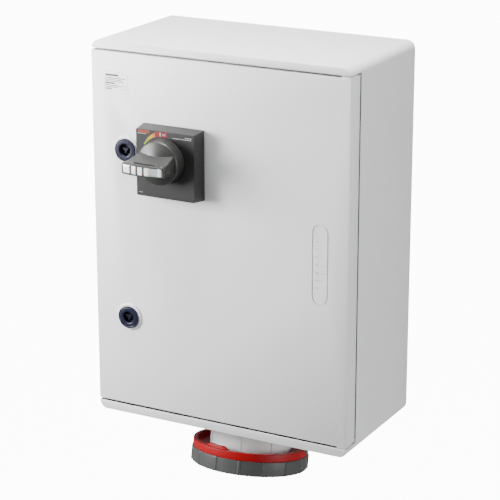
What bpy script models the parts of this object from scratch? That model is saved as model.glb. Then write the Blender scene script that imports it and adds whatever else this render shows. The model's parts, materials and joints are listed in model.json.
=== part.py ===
"""Wall-mounted switched socket unit: a plastic cabinet whose door carries a rotary isolator handle.

The frame is metres with +Z up. The origin is the centre of the cabinet's back face, which lies on
the wall; +X is right seen from the front and +Y goes into the wall, so the door faces -Y.
"""

import math

import bpy
import bmesh
from mathutils import Vector

MM = 0.001

# Fits and working gaps
GAP = 0.3 * MM  # face to face gap of pieces that touch
RUN = 0.3 * MM  # radial gap of a turning fit
OVER = 1.0 * MM  # how far a cutter or a joining block passes its neighbour's face
SHY = 0.2 * MM  # how far a joining block stops short of a face it must not share

# Cabinet
CABINET_WIDTH = 310 * MM
CABINET_HEIGHT = 425 * MM
CABINET_DEPTH = 160 * MM
CABINET_CORNER = 9.5 * MM
CABINET_EDGE = 2.0 * MM
WALL = 4.0 * MM
TOP_STRIP = 8.6 * MM
BOTTOM_STRIP = 10.5 * MM
WALL_HOLE = 8.0 * MM
WALL_HOLE_INSET = 26 * MM

# Door
DOOR_GROOVE = 2.0 * MM
DOOR_WALL = 3.0 * MM
DOOR_SKIRT = 22.5 * MM
DOOR_BACK_GROOVE = 1.75 * MM
DOOR_EDGE = 1.6 * MM
HINGE_INSET = 5.0 * MM
HINGE_DEPTH = 10.5 * MM
HINGE_PIN = 4.0 * MM
HINGE_PIN_REACH = 16 * MM
HINGE_PIN_SEAT = 6.0 * MM
KNUCKLE_WIDTH = 11.5 * MM
KNUCKLE_DEPTH = 16.5 * MM
KNUCKLE_HEIGHT = 20 * MM
KNUCKLE_GAP = 0.5 * MM
BADGE_CENTRE = (122.2 * MM, 0.0)
BADGE_SIZE = (19 * MM, 88.4 * MM)
BADGE_LINE = 1.4 * MM
BADGE_DEPTH = 0.8 * MM
BADGE_RIBS = 7

# Sealing rim of the cabinet and the door's seal
RIM_INSET = 20.5 * MM
RIM_END_INSET = 12 * MM
RIM_WALL = 3.0 * MM
RIM_CORNER = 8.0 * MM
RIM_FRONT = 8.0 * MM
SEAL_WIDTH = 9.0 * MM

# Rotary handle on the door
HANDLE_CENTRE = (-52.9 * MM, 95 * MM)
PLATE_OFFSET = (0.2 * MM, -5.4 * MM)
PLATE_FRONT = (71 * MM, 73.5 * MM)
PLATE_DRAFT = 2.0 * MM
PLATE_DEPTH = 18.7 * MM
PLATE_WALL = 3.0 * MM
PLATE_CORNER = 1.2 * MM
ROTOR_RADIUS = 24 * MM
ROTOR_RIM = 14.4 * MM
ROTOR_EDGE = 0.8 * MM
ROTOR_DOME = 22 * MM
ROTOR_CROWN = 9 * MM
STEM_RADIUS = 12 * MM
STEM_END_RADIUS = 6.0 * MM
GRIP_LENGTH = 52 * MM
GRIP_HEIGHT = 12.5 * MM
GRIP_REACH = 45 * MM
GRIP_BULGE = 4.0 * MM
GRIP_NECK = 38 * MM
GRIP_EDGE = 1.2 * MM
GRIP_ROOT = 5.0 * MM
GRIP_FLARE = (10 * MM, 38 * MM)
GRIP_FLARE_HEIGHT = 24 * MM
SLIDE_LENGTH = 47 * MM
SLIDE_HEIGHT = 8.4 * MM
SLIDE_DEPTH = 17 * MM
SLIDE_SINK = 1.4 * MM
SHACKLE_WINDOWS = 3
SHACKLE_WINDOW = 5.5 * MM
SHACKLE_PITCH = 8.5 * MM
SHACKLE_SLOT = (28 * MM, 2.0 * MM)
SHACKLE_SLOT_INSET = 4.0 * MM
CLAMP_SIZE = 62 * MM
CLAMP_CORNER = 4.0 * MM
CLAMP_THICK = 3.0 * MM
CLAMP_SCREW_OFFSET = 25 * MM
SCREW = 4.0 * MM
SCREW_HEAD = 8.0 * MM
SCREW_HEAD_THICK = 2.5 * MM

# Shaft between the door handle and the switch
SHAFT_SIDE = 10 * MM
SHAFT_PLAY = 1.3 * MM
SHAFT_ENGAGED = 6.5 * MM
COUPLER_CLEAR = 4.0 * MM
COUPLER_RADIUS = 11.5 * MM
COUPLER_FLOOR = 2.0 * MM
COUPLER_SOCKET = 10 * MM
COUPLER_STEM = 7.0 * MM

# Quarter-turn door locks
LOCK_X = -112.4 * MM
LOCK_HEIGHTS = {"upper": 95.4 * MM, "lower": -95.7 * MM}
COLLAR_RADIUS = 15.3 * MM
COLLAR_THICK = 1.5 * MM
BUSH_RADIUS = 12.8 * MM
BUSH_THICK = 1.6 * MM
BARREL_RADIUS = 10 * MM
BARREL_REACH = 8.0 * MM
KEY_HOLE_RADIUS = 6.5 * MM
CORE_SEAT_RADIUS = 8.3 * MM
CORE_SEAT_FLOOR = 1.0 * MM
TRIANGLE_SIDE = 8.0 * MM
NUT_RADIUS = 14 * MM
NUT_THICK = 4.2 * MM
CAM_LENGTH = 15.5 * MM
CAM_WIDTH = 10 * MM
CAM_CLEAR = 0.5 * MM
CORE_NOSE = 2.5 * MM
KEY_PROUD = 1.6 * MM
CAM_THICK = 2.5 * MM
CAM_SQUARE = 7.0 * MM
KEEPER_THICK = 1.5 * MM
KEEPER_LUG = 7.5 * MM
KEEPER_HEIGHT = 24 * MM

# Mounting plate and the switch on it
MOUNTING_PLATE = (236 * MM, 356 * MM)
MOUNTING_PLATE_CORNER = 6.0 * MM
MOUNTING_PLATE_THICK = 2.0 * MM
MOUNTING_PLATE_STANDOFF = 16 * MM
BOSS_RADIUS = 6.0 * MM
BOSS_INSET = 12 * MM
SWITCH_SIZE = (90 * MM, 155 * MM)
SWITCH_CORNER = 2.0 * MM
SWITCH_BODY_DEPTH = 38 * MM
SWITCH_COVER_DEPTH = 22 * MM
SWITCH_WALL = 3.0 * MM
POLE_PITCH = 28 * MM
HOUSING_SIZE = (76 * MM, 100 * MM)
HOUSING_CORNER = 3.0 * MM
HOUSING_DEPTH = 30 * MM
CRANK_RADIUS = 16 * MM
CRANK_PIN = 3.0 * MM
CRANK_DISC = 21 * MM
CRANK_DISC_THICK = 5.0 * MM
CRANK_HUB = 7.2 * MM
SLIDER_SIZE = (66 * MM, 44 * MM)
SLIDER_THICK = 4.0 * MM
SLIDER_CLEAR = 2.0 * MM
SLOT_CLEAR = 0.6 * MM
SLOT_PLAY = 0.9 * MM
WINDOW_PLAY = 0.8 * MM
TOGGLE_WIDTH = 10 * MM
TOGGLE_THICK = 6.0 * MM
TOGGLE_REACH = 27.5 * MM
TOGGLE_PIVOT_DEPTH = 7.0 * MM
TOGGLE_HUB = (3.5 * MM, 14 * MM)
TRIP_RADIUS = 4.0 * MM
TRIP_OFFSET = (24 * MM, -63 * MM)
TRIP_PROUD = 3.5 * MM
TRIP_FLANGE = 2.0 * MM
TRIP_TAIL = 8.0 * MM
EARTH_BAR = (60 * MM, 9.0 * MM, 12 * MM)
EARTH_BAR_CENTRE = (62 * MM, -70 * MM)
EARTH_TAP = (2.2 * MM, 5.0 * MM)

# Conductors and their lugs
WIRE_RADIUS = 5.5 * MM
LUG_RADIUS = 7.0 * MM
LUG_LENGTH = 16 * MM
LUG_BITE = 9.0 * MM
LUG_TONGUE = (16 * MM, 3.0 * MM)
LUG_EYE = 3.3 * MM
LUG_FROM_BACK = 20.9 * MM
POLE_RECESS = (20 * MM, 12 * MM)
WIRE_PULLS = (100 * MM, 80 * MM)

# Angled socket under the cabinet; depths run out along its tilted axis from the cabinet's bottom
SOCKET_TILT = math.radians(10.8)
SOCKET_FROM_WALL = 77.8 * MM
NECK_RADIUS = 46 * MM
NECK_BORE = 42.5 * MM
NECK_END = 52.9 * MM
NECK_SHELF = (10 * MM, 14 * MM)
NECK_SHELF_BORE = 30 * MM
NECK_REAR_BORE = 36 * MM
NECK_TOP = 6.0 * MM
NECK_CLEAR = 40 * MM
FLANGE_SIZE = 104 * MM
FLANGE_CORNER = 8.0 * MM
NECK_SCREW_END = 4.0 * MM
FLANGE_THICK = 5.0 * MM
FLANGE_SCREW_OFFSET = 43 * MM
CABINET_OUTLET = 38 * MM
CARRIER_RADIUS = 36.5 * MM
CARRIER_END = 50 * MM
CARRIER_FLANGE = 3.0 * MM
KEYWAY = 6.0 * MM
CONTACT_CIRCLE = 21 * MM
CONTACT_RADIUS = 6.5 * MM
CONTACT_BORE = 5.1 * MM
EARTH_CONTACT_BORE = 6.0 * MM
CONTACT_REAR = -3.0 * MM
CONTACT_TOP = 6.0 * MM
PIN_DEPTH = 30 * MM
CONTACT_END = 46 * MM
COLLAR_BAND_TOP = 38.2 * MM
COLLAR_BAND_END = 46.6 * MM
COLLAR_BAND_RADIUS = 65.8 * MM
RING_WALL = 4.8 * MM
COLLAR_WEB = 2.0 * MM
RAMP_CENTRES = (math.radians(-103), math.radians(137))
RAMP_RISE = 2.5 * MM
RAMP_DEPTH = 4.0 * MM
RING_TOP = 46.9 * MM
RING_END = 63.8 * MM
RING_RADIUS = 66.5 * MM
RING_RIB = 0.8 * MM
RING_RIBS = 15
RING_RIB_START = math.radians(-1)
RING_RIB_TOP = math.radians(0.8)
RING_RIB_FOOT = math.radians(1.3)
LUG_COUNT = 3
LUG_ANGLE = math.radians(29)
RING_TURN = math.radians(45)
RING_LUG_RADIUS = 50 * MM
NECK_LUG_RADIUS = 53 * MM
NECK_LUG_THICK = 3.0 * MM
RING_LUG_THICK = 2.4 * MM
LID_RADIUS = 60.5 * MM
LID_THICK = 3.5 * MM
RING_LIP_RADIUS = 54 * MM
LID_SEAL_THICK = 3.2 * MM
LID_SEAL_BORE = 40 * MM
LID_SEAL_RADIUS = 48 * MM
LID_HINGE_REACH = 72.8 * MM
LID_HINGE_DEPTH = 64 * MM
LID_EYE_RADIUS = 4.5 * MM
LID_ARM_WIDTH = 18 * MM
LID_ARM_THICK = 3.5 * MM
LID_ARM_ROOT = 42 * MM
LID_HUB_ROOT = 51 * MM
LID_HUB_END = 48 * MM
EAR_THICK = 3.0 * MM
BRACKET_START = math.radians(7)
BRACKET_END = math.radians(105)
BRACKET_RISE = 1.4 * MM
BRACKET_PROUD = 0.4 * MM

# Places that follow from the sizes above
HALF_WIDTH = CABINET_WIDTH / 2
HALF_HEIGHT = CABINET_HEIGHT / 2
FRONT = -CABINET_DEPTH
DOOR_TOP = HALF_HEIGHT - TOP_STRIP - DOOR_GROOVE
DOOR_BOTTOM = -HALF_HEIGHT + BOTTOM_STRIP + DOOR_GROOVE
DOOR_INSIDE = FRONT + DOOR_WALL
DOOR_REAR = FRONT + DOOR_SKIRT
SHELF_FRONT = DOOR_REAR + DOOR_BACK_GROOVE
SHELF_BACK = SHELF_FRONT + RIM_WALL
RIM_TOP = DOOR_TOP - RIM_END_INSET
RIM_BOTTOM = DOOR_BOTTOM + RIM_END_INSET
RIM_FRONT_Y = FRONT + RIM_FRONT
RIM_INNER_X = HALF_WIDTH - RIM_INSET - RIM_WALL
HINGE_X = HALF_WIDTH - HINGE_INSET
HINGE_Y = FRONT + HINGE_DEPTH
HANDLE_X, HANDLE_Z = HANDLE_CENTRE
PLATE_CENTRE = (HANDLE_X + PLATE_OFFSET[0], HANDLE_Z + PLATE_OFFSET[1])
PLATE_BACK = FRONT - GAP
PLATE_FACE = PLATE_BACK - PLATE_DEPTH
ROTOR_BACK = PLATE_FACE - GAP
CLAMP_FRONT = DOOR_INSIDE + GAP
CLAMP_BACK = CLAMP_FRONT + CLAMP_THICK
COUPLER_FRONT = CLAMP_BACK + COUPLER_CLEAR
COUPLER_MID = COUPLER_FRONT + COUPLER_STEM
COUPLER_BACK = COUPLER_MID + COUPLER_FLOOR + COUPLER_SOCKET
PLATE_Y = -WALL - MOUNTING_PLATE_STANDOFF
PLATE_Y_FRONT = PLATE_Y - GAP - MOUNTING_PLATE_THICK
SWITCH_BACK = PLATE_Y_FRONT - GAP
SWITCH_SPLIT = SWITCH_BACK - SWITCH_BODY_DEPTH
COVER_FRONT = SWITCH_SPLIT - GAP - SWITCH_COVER_DEPTH
HOUSING_BACK = COVER_FRONT - GAP
HOUSING_FRONT = HOUSING_BACK - HOUSING_DEPTH
SHAFT_END = COUPLER_BACK - SHAFT_ENGAGED
CRANK_FRONT = HOUSING_FRONT + SWITCH_WALL + GAP
CRANK_BACK = CRANK_FRONT + CRANK_DISC_THICK
SLIDER_FRONT = CRANK_BACK + SLIDER_CLEAR
SLIDER_BACK = SLIDER_FRONT + SLIDER_THICK
TOGGLE_PIVOT_Y = COVER_FRONT + TOGGLE_PIVOT_DEPTH
CRANK_OFFSET = CRANK_RADIUS * math.sqrt(0.5)
TOGGLE_SWING = math.atan(CRANK_OFFSET / (TOGGLE_PIVOT_Y - (SLIDER_FRONT + SLIDER_BACK) / 2))
LUG_Y = SWITCH_BACK - LUG_FROM_BACK
SOCKET_Y = -SOCKET_FROM_WALL
LID_TOP = NECK_END + GAP + LID_SEAL_THICK + GAP
LID_BACK = LID_TOP + LID_THICK
RING_LIP_TOP = LID_BACK + GAP

WHITE_PLASTIC = ((0.78, 0.79, 0.79), 0.42, 0.0)
DARK_PLASTIC = ((0.095, 0.095, 0.095), 0.45, 0.0)
MID_PLASTIC = ((0.16, 0.16, 0.155), 0.4, 0.0)
BLACK_PLASTIC = ((0.02, 0.02, 0.02), 0.5, 0.0)
BLUE_PLASTIC = ((0.035, 0.04, 0.09), 0.4, 0.0)
RED_PLASTIC = ((0.55, 0.01, 0.02), 0.35, 0.0)
CLEAR_WHITE = ((0.85, 0.85, 0.85), 0.25, 0.0)
FOAM = ((0.03, 0.03, 0.03), 0.9, 0.0)
ZINC = ((0.6, 0.6, 0.6), 0.35, 1.0)
BRASS = ((0.7, 0.5, 0.2), 0.3, 1.0)
GALVANISED = ((0.55, 0.56, 0.57), 0.45, 1.0)


def clear_scene():
    for obj in list(bpy.data.objects):
        bpy.data.objects.remove(obj, do_unlink=True)


def finish_material(name, finish):
    """A Principled material from a (colour, roughness, metallic) finish."""
    colour, roughness, metallic = finish
    material = bpy.data.materials.new(name + "_finish")
    material.use_nodes = True
    shader = material.node_tree.nodes["Principled BSDF"]
    shader.inputs["Base Color"].default_value = (*colour, 1.0)
    shader.inputs["Roughness"].default_value = roughness
    shader.inputs["Metallic"].default_value = metallic
    return material


def add_object(name, bm, finish=None, at=(0, 0, 0)):
    """Puts a bmesh in the scene; without a finish the object is a hidden tool for a Boolean."""
    bmesh.ops.recalc_face_normals(bm, faces=bm.faces)
    mesh = bpy.data.meshes.new(name)
    bm.to_mesh(mesh)
    bm.free()
    obj = bpy.data.objects.new(name, mesh)
    obj.location = at
    bpy.context.scene.collection.objects.link(obj)
    mesh.shade_smooth()
    mesh.set_sharp_from_angle(angle=math.radians(35))
    if finish:
        mesh.materials.append(finish_material(name, finish))
    else:
        obj.hide_render = True
        obj.display_type = "WIRE"
    return obj


def arc(radius, start, end, steps, centre=(0, 0)):
    """Points on a circle from one angle to another, both ends included."""
    angles = [start + (end - start) * i / steps for i in range(steps + 1)]
    return [(centre[0] + radius * math.cos(a), centre[1] + radius * math.sin(a)) for a in angles]


def circle(radius, steps=32, centre=(0, 0)):
    return arc(radius, 0, math.tau, steps, centre)[:-1]


def rounded_rectangle(width, height, radius, centre=(0, 0), steps=5):
    """Outline of a rectangle with quarter-circle corners."""
    points = []
    for quarter, (sx, sy) in enumerate(((1, 1), (-1, 1), (-1, -1), (1, -1))):
        corner = (centre[0] + sx * (width / 2 - radius), centre[1] + sy * (height / 2 - radius))
        start = quarter * math.pi / 2
        points += arc(radius, start, start + math.pi / 2, steps, corner)
    return points


def rectangle(width, height, centre=(0, 0)):
    x, y = centre
    half_w = width / 2
    half_h = height / 2
    signs = [(1, 1), (-1, 1), (-1, -1), (1, -1)]
    return [(x + sx * half_w, y + sy * half_h) for sx, sy in signs]


AXES = {
    "X": lambda u, v, w: (w, u, v),
    "Y": lambda u, v, w: (u, w, v),
    "Z": lambda u, v, w: (u, v, w),
}


def prism(name, outline, low, high, finish=None, axis="Y", end_outline=None):
    """An outline carried straight from low to high along an axis; end_outline tapers it."""
    return skinned(name, [(outline, low), (end_outline or outline, high)], finish, axis)


def block(name, low, high, finish=None):
    """A box between two corners."""
    size = [b - a for a, b in zip(low, high)]
    middle = ((low[0] + high[0]) / 2, (low[2] + high[2]) / 2)
    return prism(name, rectangle(size[0], size[2], middle), low[1], high[1], finish)


def turned(name, profile, finish=None, axis="Z", centre=(0, 0), steps=32, ring=False):
    """A profile of (radius, height) points turned about an axis; ends are capped unless it is a ring."""
    loops = [(circle(radius, steps, centre), height) for radius, height in profile]
    return skinned(name, loops, finish, axis, ring)


def skinned(name, loops, finish=None, axis="Z", ring=False):
    """A skin over a run of (outline, height) loops with equal point counts."""
    place = AXES[axis]
    bm = bmesh.new()
    rows = [[bm.verts.new(place(u, v, height)) for u, v in outline] for outline, height in loops]
    pairs = list(zip(rows, rows[1:]))
    if ring:
        pairs.append((rows[-1], rows[0]))
    else:
        bm.faces.new(rows[0])
        bm.faces.new(rows[-1])
    for near, far in pairs:
        for i in range(len(near)):
            j = (i + 1) % len(near)
            bm.faces.new((near[i], near[j], far[j], far[i]))
    return add_object(name, bm, finish)


def tube_profile(inner, outer, low, high):
    return [(outer, low), (outer, high), (inner, high), (inner, low)]


def combine(obj, tool, operation):
    step = obj.modifiers.new(tool.name, "BOOLEAN")
    step.operation = operation
    step.solver = "EXACT"
    step.object = tool
    return obj


def cut(obj, *tools):
    """Takes each tool's shape away from an object."""
    for tool in tools:
        combine(obj, tool, "DIFFERENCE")
    return obj


def join(obj, *tools):
    """Adds each tool's shape to an object as one body."""
    for tool in tools:
        combine(obj, tool, "UNION")
    return obj


def soften(obj, width, segments=2, angle=50):
    """Rounds every edge sharper than the angle."""
    bevel = obj.modifiers.new("edge_round", "BEVEL")
    bevel.width = width
    bevel.segments = segments
    bevel.limit_method = "ANGLE"
    bevel.angle_limit = math.radians(angle)
    return obj


def pivot(name, location, tilt=0.0, parent=None):
    """An empty on a joint's axis, tilted about X."""
    empty = bpy.data.objects.new(name, None)
    empty.rotation_euler = (tilt, 0, 0)
    empty.location = location
    bpy.context.scene.collection.objects.link(empty)
    bpy.context.view_layer.update()
    if parent:
        attach(parent, empty)
    return empty


def attach(parent, *pieces):
    """Parents pieces and keeps them where they are."""
    bpy.context.view_layer.update()
    for piece in pieces:
        piece.parent = parent
        piece.matrix_parent_inverse = parent.matrix_world.inverted()


def seat(frame, *pieces):
    """Parents pieces whose shape is drawn in the frame's own axes."""
    for piece in pieces:
        piece.parent = frame


def hang(axis, frame, *pieces):
    """Parents pieces drawn in one frame's axes to an empty on their joint's axis."""
    bpy.context.view_layer.update()
    for piece in pieces:
        piece.parent = axis
        piece.matrix_parent_inverse = axis.matrix_world.inverted() @ frame.matrix_world


# ---------------------------------------------------------------- cabinet


def cabinet_shell():
    """One moulding: back, sides, the strips above and below the door and the sealing rim."""
    outline = rounded_rectangle(CABINET_WIDTH, CABINET_HEIGHT, CABINET_CORNER)
    shell = prism("enclosure_shell", outline, FRONT, 0, WHITE_PLASTIC)
    soften(shell, CABINET_EDGE)
    recess_top = HALF_HEIGHT - TOP_STRIP
    recess_bottom = -HALF_HEIGHT + BOTTOM_STRIP
    recess = block(
        "door_recess",
        (-HALF_WIDTH - OVER, FRONT - OVER, recess_bottom),
        (HALF_WIDTH + OVER, SHELF_FRONT, recess_top),
    )
    rim_centre = (0, (RIM_TOP + RIM_BOTTOM) / 2)
    rim_size = (2 * (HALF_WIDTH - RIM_INSET), RIM_TOP - RIM_BOTTOM)
    rim = rounded_rectangle(*rim_size, RIM_CORNER, rim_centre)
    cut(recess, prism("rim_block", rim, RIM_FRONT_Y, SHELF_FRONT + OVER))
    inside = rounded_rectangle(CABINET_WIDTH - 2 * WALL, CABINET_HEIGHT - 2 * WALL, CABINET_CORNER - WALL)
    cavity = prism("cabinet_cavity", inside, SHELF_BACK, -WALL)
    mouth = rounded_rectangle(
        rim_size[0] - 2 * RIM_WALL, rim_size[1] - 2 * RIM_WALL, RIM_CORNER - RIM_WALL, rim_centre
    )
    opening = prism("cabinet_mouth", mouth, FRONT - OVER, SHELF_BACK + OVER)
    cut(shell, recess, cavity, opening)
    for i, (x, z) in enumerate(boss_centres()):
        boss = circle(BOSS_RADIUS, 14, (x, z))
        join(shell, prism(f"plate_boss_{i}", boss, PLATE_Y + GAP, -WALL + OVER))
        bore = circle(SCREW / 2 + RUN, 12, (x, z))
        cut(shell, prism(f"plate_boss_bore_{i}", bore, PLATE_Y - OVER, -WALL - OVER))
    for i, (sx, sz) in enumerate(corner_signs()):
        place = (sx * (HALF_WIDTH - WALL_HOLE_INSET), sz * (HALF_HEIGHT - WALL_HOLE_INSET))
        cut(shell, prism(f"wall_hole_{i}", circle(WALL_HOLE / 2, 12, place), -WALL - OVER, OVER))
        bore = circle(SCREW / 2 + RUN, 12, (sx * FLANGE_SCREW_OFFSET, SOCKET_Y + sz * FLANGE_SCREW_OFFSET))
        low = -HALF_HEIGHT - OVER
        cut(shell, prism(f"flange_hole_{i}", bore, low, low + WALL + 2 * OVER, axis="Z"))
    outlet = circle(CABINET_OUTLET, 32, (0, SOCKET_Y))
    low = -HALF_HEIGHT - OVER
    cut(shell, prism("socket_outlet", outlet, low, low + WALL + 2 * OVER, axis="Z"))
    for end, (low, high) in pin_seats().items():
        bore = circle(HINGE_PIN / 2 + RUN, 16, (HINGE_X, HINGE_Y))
        cut(shell, prism(f"{end}_pin_seat", bore, low, high, axis="Z"))
    return shell


def corner_signs():
    return [(-1, 1), (1, 1), (1, -1), (-1, -1)]


def boss_centres():
    half_w = MOUNTING_PLATE[0] / 2 - BOSS_INSET
    half_h = MOUNTING_PLATE[1] / 2 - BOSS_INSET
    return [(sx * half_w, sz * half_h) for sx, sz in corner_signs()]


def pin_seats():
    """Heights of the blind holes in the strips that hold the hinge pins."""
    top = HALF_HEIGHT - TOP_STRIP
    bottom = -HALF_HEIGHT + BOTTOM_STRIP
    return {"upper": (top - OVER, top + HINGE_PIN_SEAT), "lower": (bottom - HINGE_PIN_SEAT, bottom + OVER)}


def hinge_pins():
    outline = circle(HINGE_PIN / 2, 16, (HINGE_X, HINGE_Y))
    top = HALF_HEIGHT - TOP_STRIP + HINGE_PIN_SEAT - GAP
    bottom = -HALF_HEIGHT + BOTTOM_STRIP - HINGE_PIN_SEAT + GAP
    prism("hinge_pin_upper", outline, DOOR_TOP - HINGE_PIN_REACH, top, ZINC, axis="Z")
    prism("hinge_pin_lower", outline, bottom, DOOR_BOTTOM + HINGE_PIN_REACH, ZINC, axis="Z")


# ---------------------------------------------------------------- door


def door_panel():
    """A dished panel with a skirt all round, two hinge knuckles and the holes for what it carries."""
    width = CABINET_WIDTH
    height = DOOR_TOP - DOOR_BOTTOM
    middle = (0, (DOOR_TOP + DOOR_BOTTOM) / 2)
    panel = prism("door_panel", rectangle(width, height, middle), FRONT, DOOR_REAR, WHITE_PLASTIC)
    soften(panel, DOOR_EDGE)
    dish = rounded_rectangle(width - 2 * DOOR_WALL, height - 2 * DOOR_WALL, DOOR_WALL, middle)
    cut(panel, prism("door_dish", dish, DOOR_INSIDE, DOOR_REAR + OVER))
    knuckles(panel)
    rotor_hole = circle(STEM_RADIUS + RUN, 24, HANDLE_CENTRE)
    cut(panel, prism("stem_hole", rotor_hole, FRONT - OVER, DOOR_INSIDE + OVER))
    for i, centre in enumerate(clamp_screw_centres()):
        bore = circle(SCREW / 2 + RUN, 12, centre)
        cut(panel, prism(f"clamp_hole_{i}", bore, FRONT - OVER, DOOR_INSIDE + OVER))
    for side, z in LOCK_HEIGHTS.items():
        hole = circle(BARREL_RADIUS + RUN, 32, (LOCK_X, z))
        cut(panel, prism(f"{side}_lock_hole", hole, FRONT - OVER, DOOR_INSIDE + OVER))
    engrave_badge(panel)
    return panel


def knuckles(panel):
    """Blocks in the right corners of the dish, bored for the hinge pins."""
    inner_x = HALF_WIDTH - KNUCKLE_WIDTH
    ends = {
        "upper": (DOOR_TOP - KNUCKLE_HEIGHT, HALF_HEIGHT - TOP_STRIP - KNUCKLE_GAP),
        "lower": (-HALF_HEIGHT + BOTTOM_STRIP + KNUCKLE_GAP, DOOR_BOTTOM + KNUCKLE_HEIGHT),
    }
    for end, (low, high) in ends.items():
        lump = block(
            f"{end}_knuckle",
            (inner_x, FRONT + SHY, low),
            (HALF_WIDTH - SHY, FRONT + KNUCKLE_DEPTH, high),
        )
        soften(lump, DOOR_EDGE)
        join(panel, lump)
        bore = circle(HINGE_PIN / 2 + RUN, 16, (HINGE_X, HINGE_Y))
        cut(panel, prism(f"{end}_knuckle_bore", bore, low - OVER, high + OVER, axis="Z"))


def stadium(width, height, centre, steps=10):
    """Outline with half-round top and bottom."""
    radius = width / 2
    rise = height / 2 - radius
    top = arc(radius, 0, math.pi, steps, (centre[0], centre[1] + rise))
    bottom = arc(radius, math.pi, math.tau, steps, (centre[0], centre[1] - rise))
    return top + bottom


def engrave_badge(panel):
    """A plain decoration: a long oval line with a ladder of short lines inside."""
    width, height = BADGE_SIZE
    line = prism("badge_line", stadium(width, height, BADGE_CENTRE), FRONT - OVER, FRONT + BADGE_DEPTH)
    inner = stadium(width - 2 * BADGE_LINE, height - 2 * BADGE_LINE, BADGE_CENTRE)
    cut(line, prism("badge_core", inner, FRONT - 2 * OVER, FRONT + BADGE_DEPTH + OVER))
    cut(panel, line)
    pitch = (height - 2 * width) / (BADGE_RIBS - 1)
    for i in range(BADGE_RIBS):
        centre = (BADGE_CENTRE[0], BADGE_CENTRE[1] + (i - (BADGE_RIBS - 1) / 2) * pitch)
        bar = rectangle(width / 2, BADGE_LINE, centre)
        cut(panel, prism(f"badge_bar_{i}", bar, FRONT - OVER, FRONT + BADGE_DEPTH))


def door_seal():
    """Foam gasket in the door that the cabinet's rim presses into."""
    middle = (0, (RIM_TOP + RIM_BOTTOM) / 2)
    grow = SEAL_WIDTH - RIM_WALL
    outer = (2 * (HALF_WIDTH - RIM_INSET) + grow, RIM_TOP - RIM_BOTTOM + grow)
    low = DOOR_INSIDE + GAP
    high = RIM_FRONT_Y - GAP
    seal = prism("door_seal", rounded_rectangle(*outer, RIM_CORNER, middle), low, high, FOAM)
    hole = rounded_rectangle(outer[0] - 2 * SEAL_WIDTH, outer[1] - 2 * SEAL_WIDTH, RIM_CORNER / 2, middle)
    return cut(seal, prism("seal_hole", hole, low - OVER, high + OVER))


# ---------------------------------------------------------------- rotary handle


def clamp_screw_centres():
    x, z = PLATE_CENTRE
    return [(x + s * CLAMP_SCREW_OFFSET, z + s * CLAMP_SCREW_OFFSET) for s in (-1, 1)]


def handle_base_plate():
    """A drafted square box open at the back, with a bearing tube and two screw posts."""
    front = rounded_rectangle(*PLATE_FRONT, PLATE_CORNER, PLATE_CENTRE, 2)
    back_size = [side + 2 * PLATE_DRAFT for side in PLATE_FRONT]
    back = rounded_rectangle(*back_size, PLATE_CORNER, PLATE_CENTRE, 2)
    plate = prism("handle_base_plate", front, PLATE_FACE, PLATE_BACK, DARK_PLASTIC, end_outline=back)
    hollow = [side - 2 * PLATE_WALL for side in PLATE_FRONT]
    inside = rectangle(*hollow, PLATE_CENTRE)
    cut(plate, prism("base_hollow", inside, PLATE_FACE + PLATE_WALL, PLATE_BACK + OVER))
    floor = PLATE_FACE + PLATE_WALL - OVER
    bearing = circle(STEM_RADIUS + PLATE_WALL, 24, HANDLE_CENTRE)
    join(plate, prism("bearing_tube", bearing, floor, PLATE_BACK - SHY))
    bore = circle(STEM_RADIUS + RUN, 24, HANDLE_CENTRE)
    cut(plate, prism("bearing_bore", bore, PLATE_FACE - OVER, PLATE_BACK + OVER))
    for i, centre in enumerate(clamp_screw_centres()):
        post = circle(SCREW, 12, centre)
        join(plate, prism(f"screw_post_{i}", post, floor, PLATE_BACK - SHY))
        bore = circle(SCREW / 2 + RUN, 12, centre)
        cut(plate, prism(f"post_bore_{i}", bore, PLATE_FACE + PLATE_WALL, PLATE_BACK + OVER))
    return plate


def handle_clamp():
    """The steel plate behind the door and the two screws that pull the base plate onto the door."""
    outline = rounded_rectangle(CLAMP_SIZE, CLAMP_SIZE, CLAMP_CORNER, PLATE_CENTRE, 2)
    clamp = prism("handle_clamp_plate", outline, CLAMP_FRONT, CLAMP_BACK, GALVANISED)
    hole = circle(STEM_RADIUS + RUN, 24, HANDLE_CENTRE)
    cut(clamp, prism("clamp_stem_hole", hole, CLAMP_FRONT - OVER, CLAMP_BACK + OVER))
    screws = []
    for i, centre in enumerate(clamp_screw_centres()):
        bore = circle(SCREW / 2 + RUN, 12, centre)
        cut(clamp, prism(f"clamp_bore_{i}", bore, CLAMP_FRONT - OVER, CLAMP_BACK + OVER))
        under_head = CLAMP_BACK + GAP
        tip = PLATE_FACE + PLATE_WALL + GAP
        screws.append(screw(f"handle_clamp_screw_{i + 1}", centre, under_head, tip, "Y"))
    return [clamp, *screws]


def screw(name, centre, under_head, tip, axis):
    """A pan-head screw along an axis, its head on the far side of under_head from the tip."""
    sign = 1 if under_head > tip else -1
    radius = SCREW / 2
    head = SCREW_HEAD / 2
    top = under_head + sign * SCREW_HEAD_THICK
    profile = [
        (radius, tip),
        (radius, under_head),
        (head, under_head),
        (head, under_head + sign * SCREW_HEAD_THICK / 2),
        (head * 0.7, top),
    ]
    return turned(name, profile, ZINC, axis, centre, 12)


def bowed_line(length, inset, steps=8):
    """Points along the grip's bowed front edge, moved back from it by an inset."""
    half = GRIP_LENGTH / 2
    radius = (half**2 + GRIP_BULGE**2) / (2 * GRIP_BULGE)
    centre = (HANDLE_X, ROTOR_BACK - GRIP_REACH - GRIP_BULGE + radius)
    swing = math.asin(length / 2 / radius)
    down = -math.pi / 2
    return arc(radius - inset, down - swing, down + swing, steps, centre)


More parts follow.
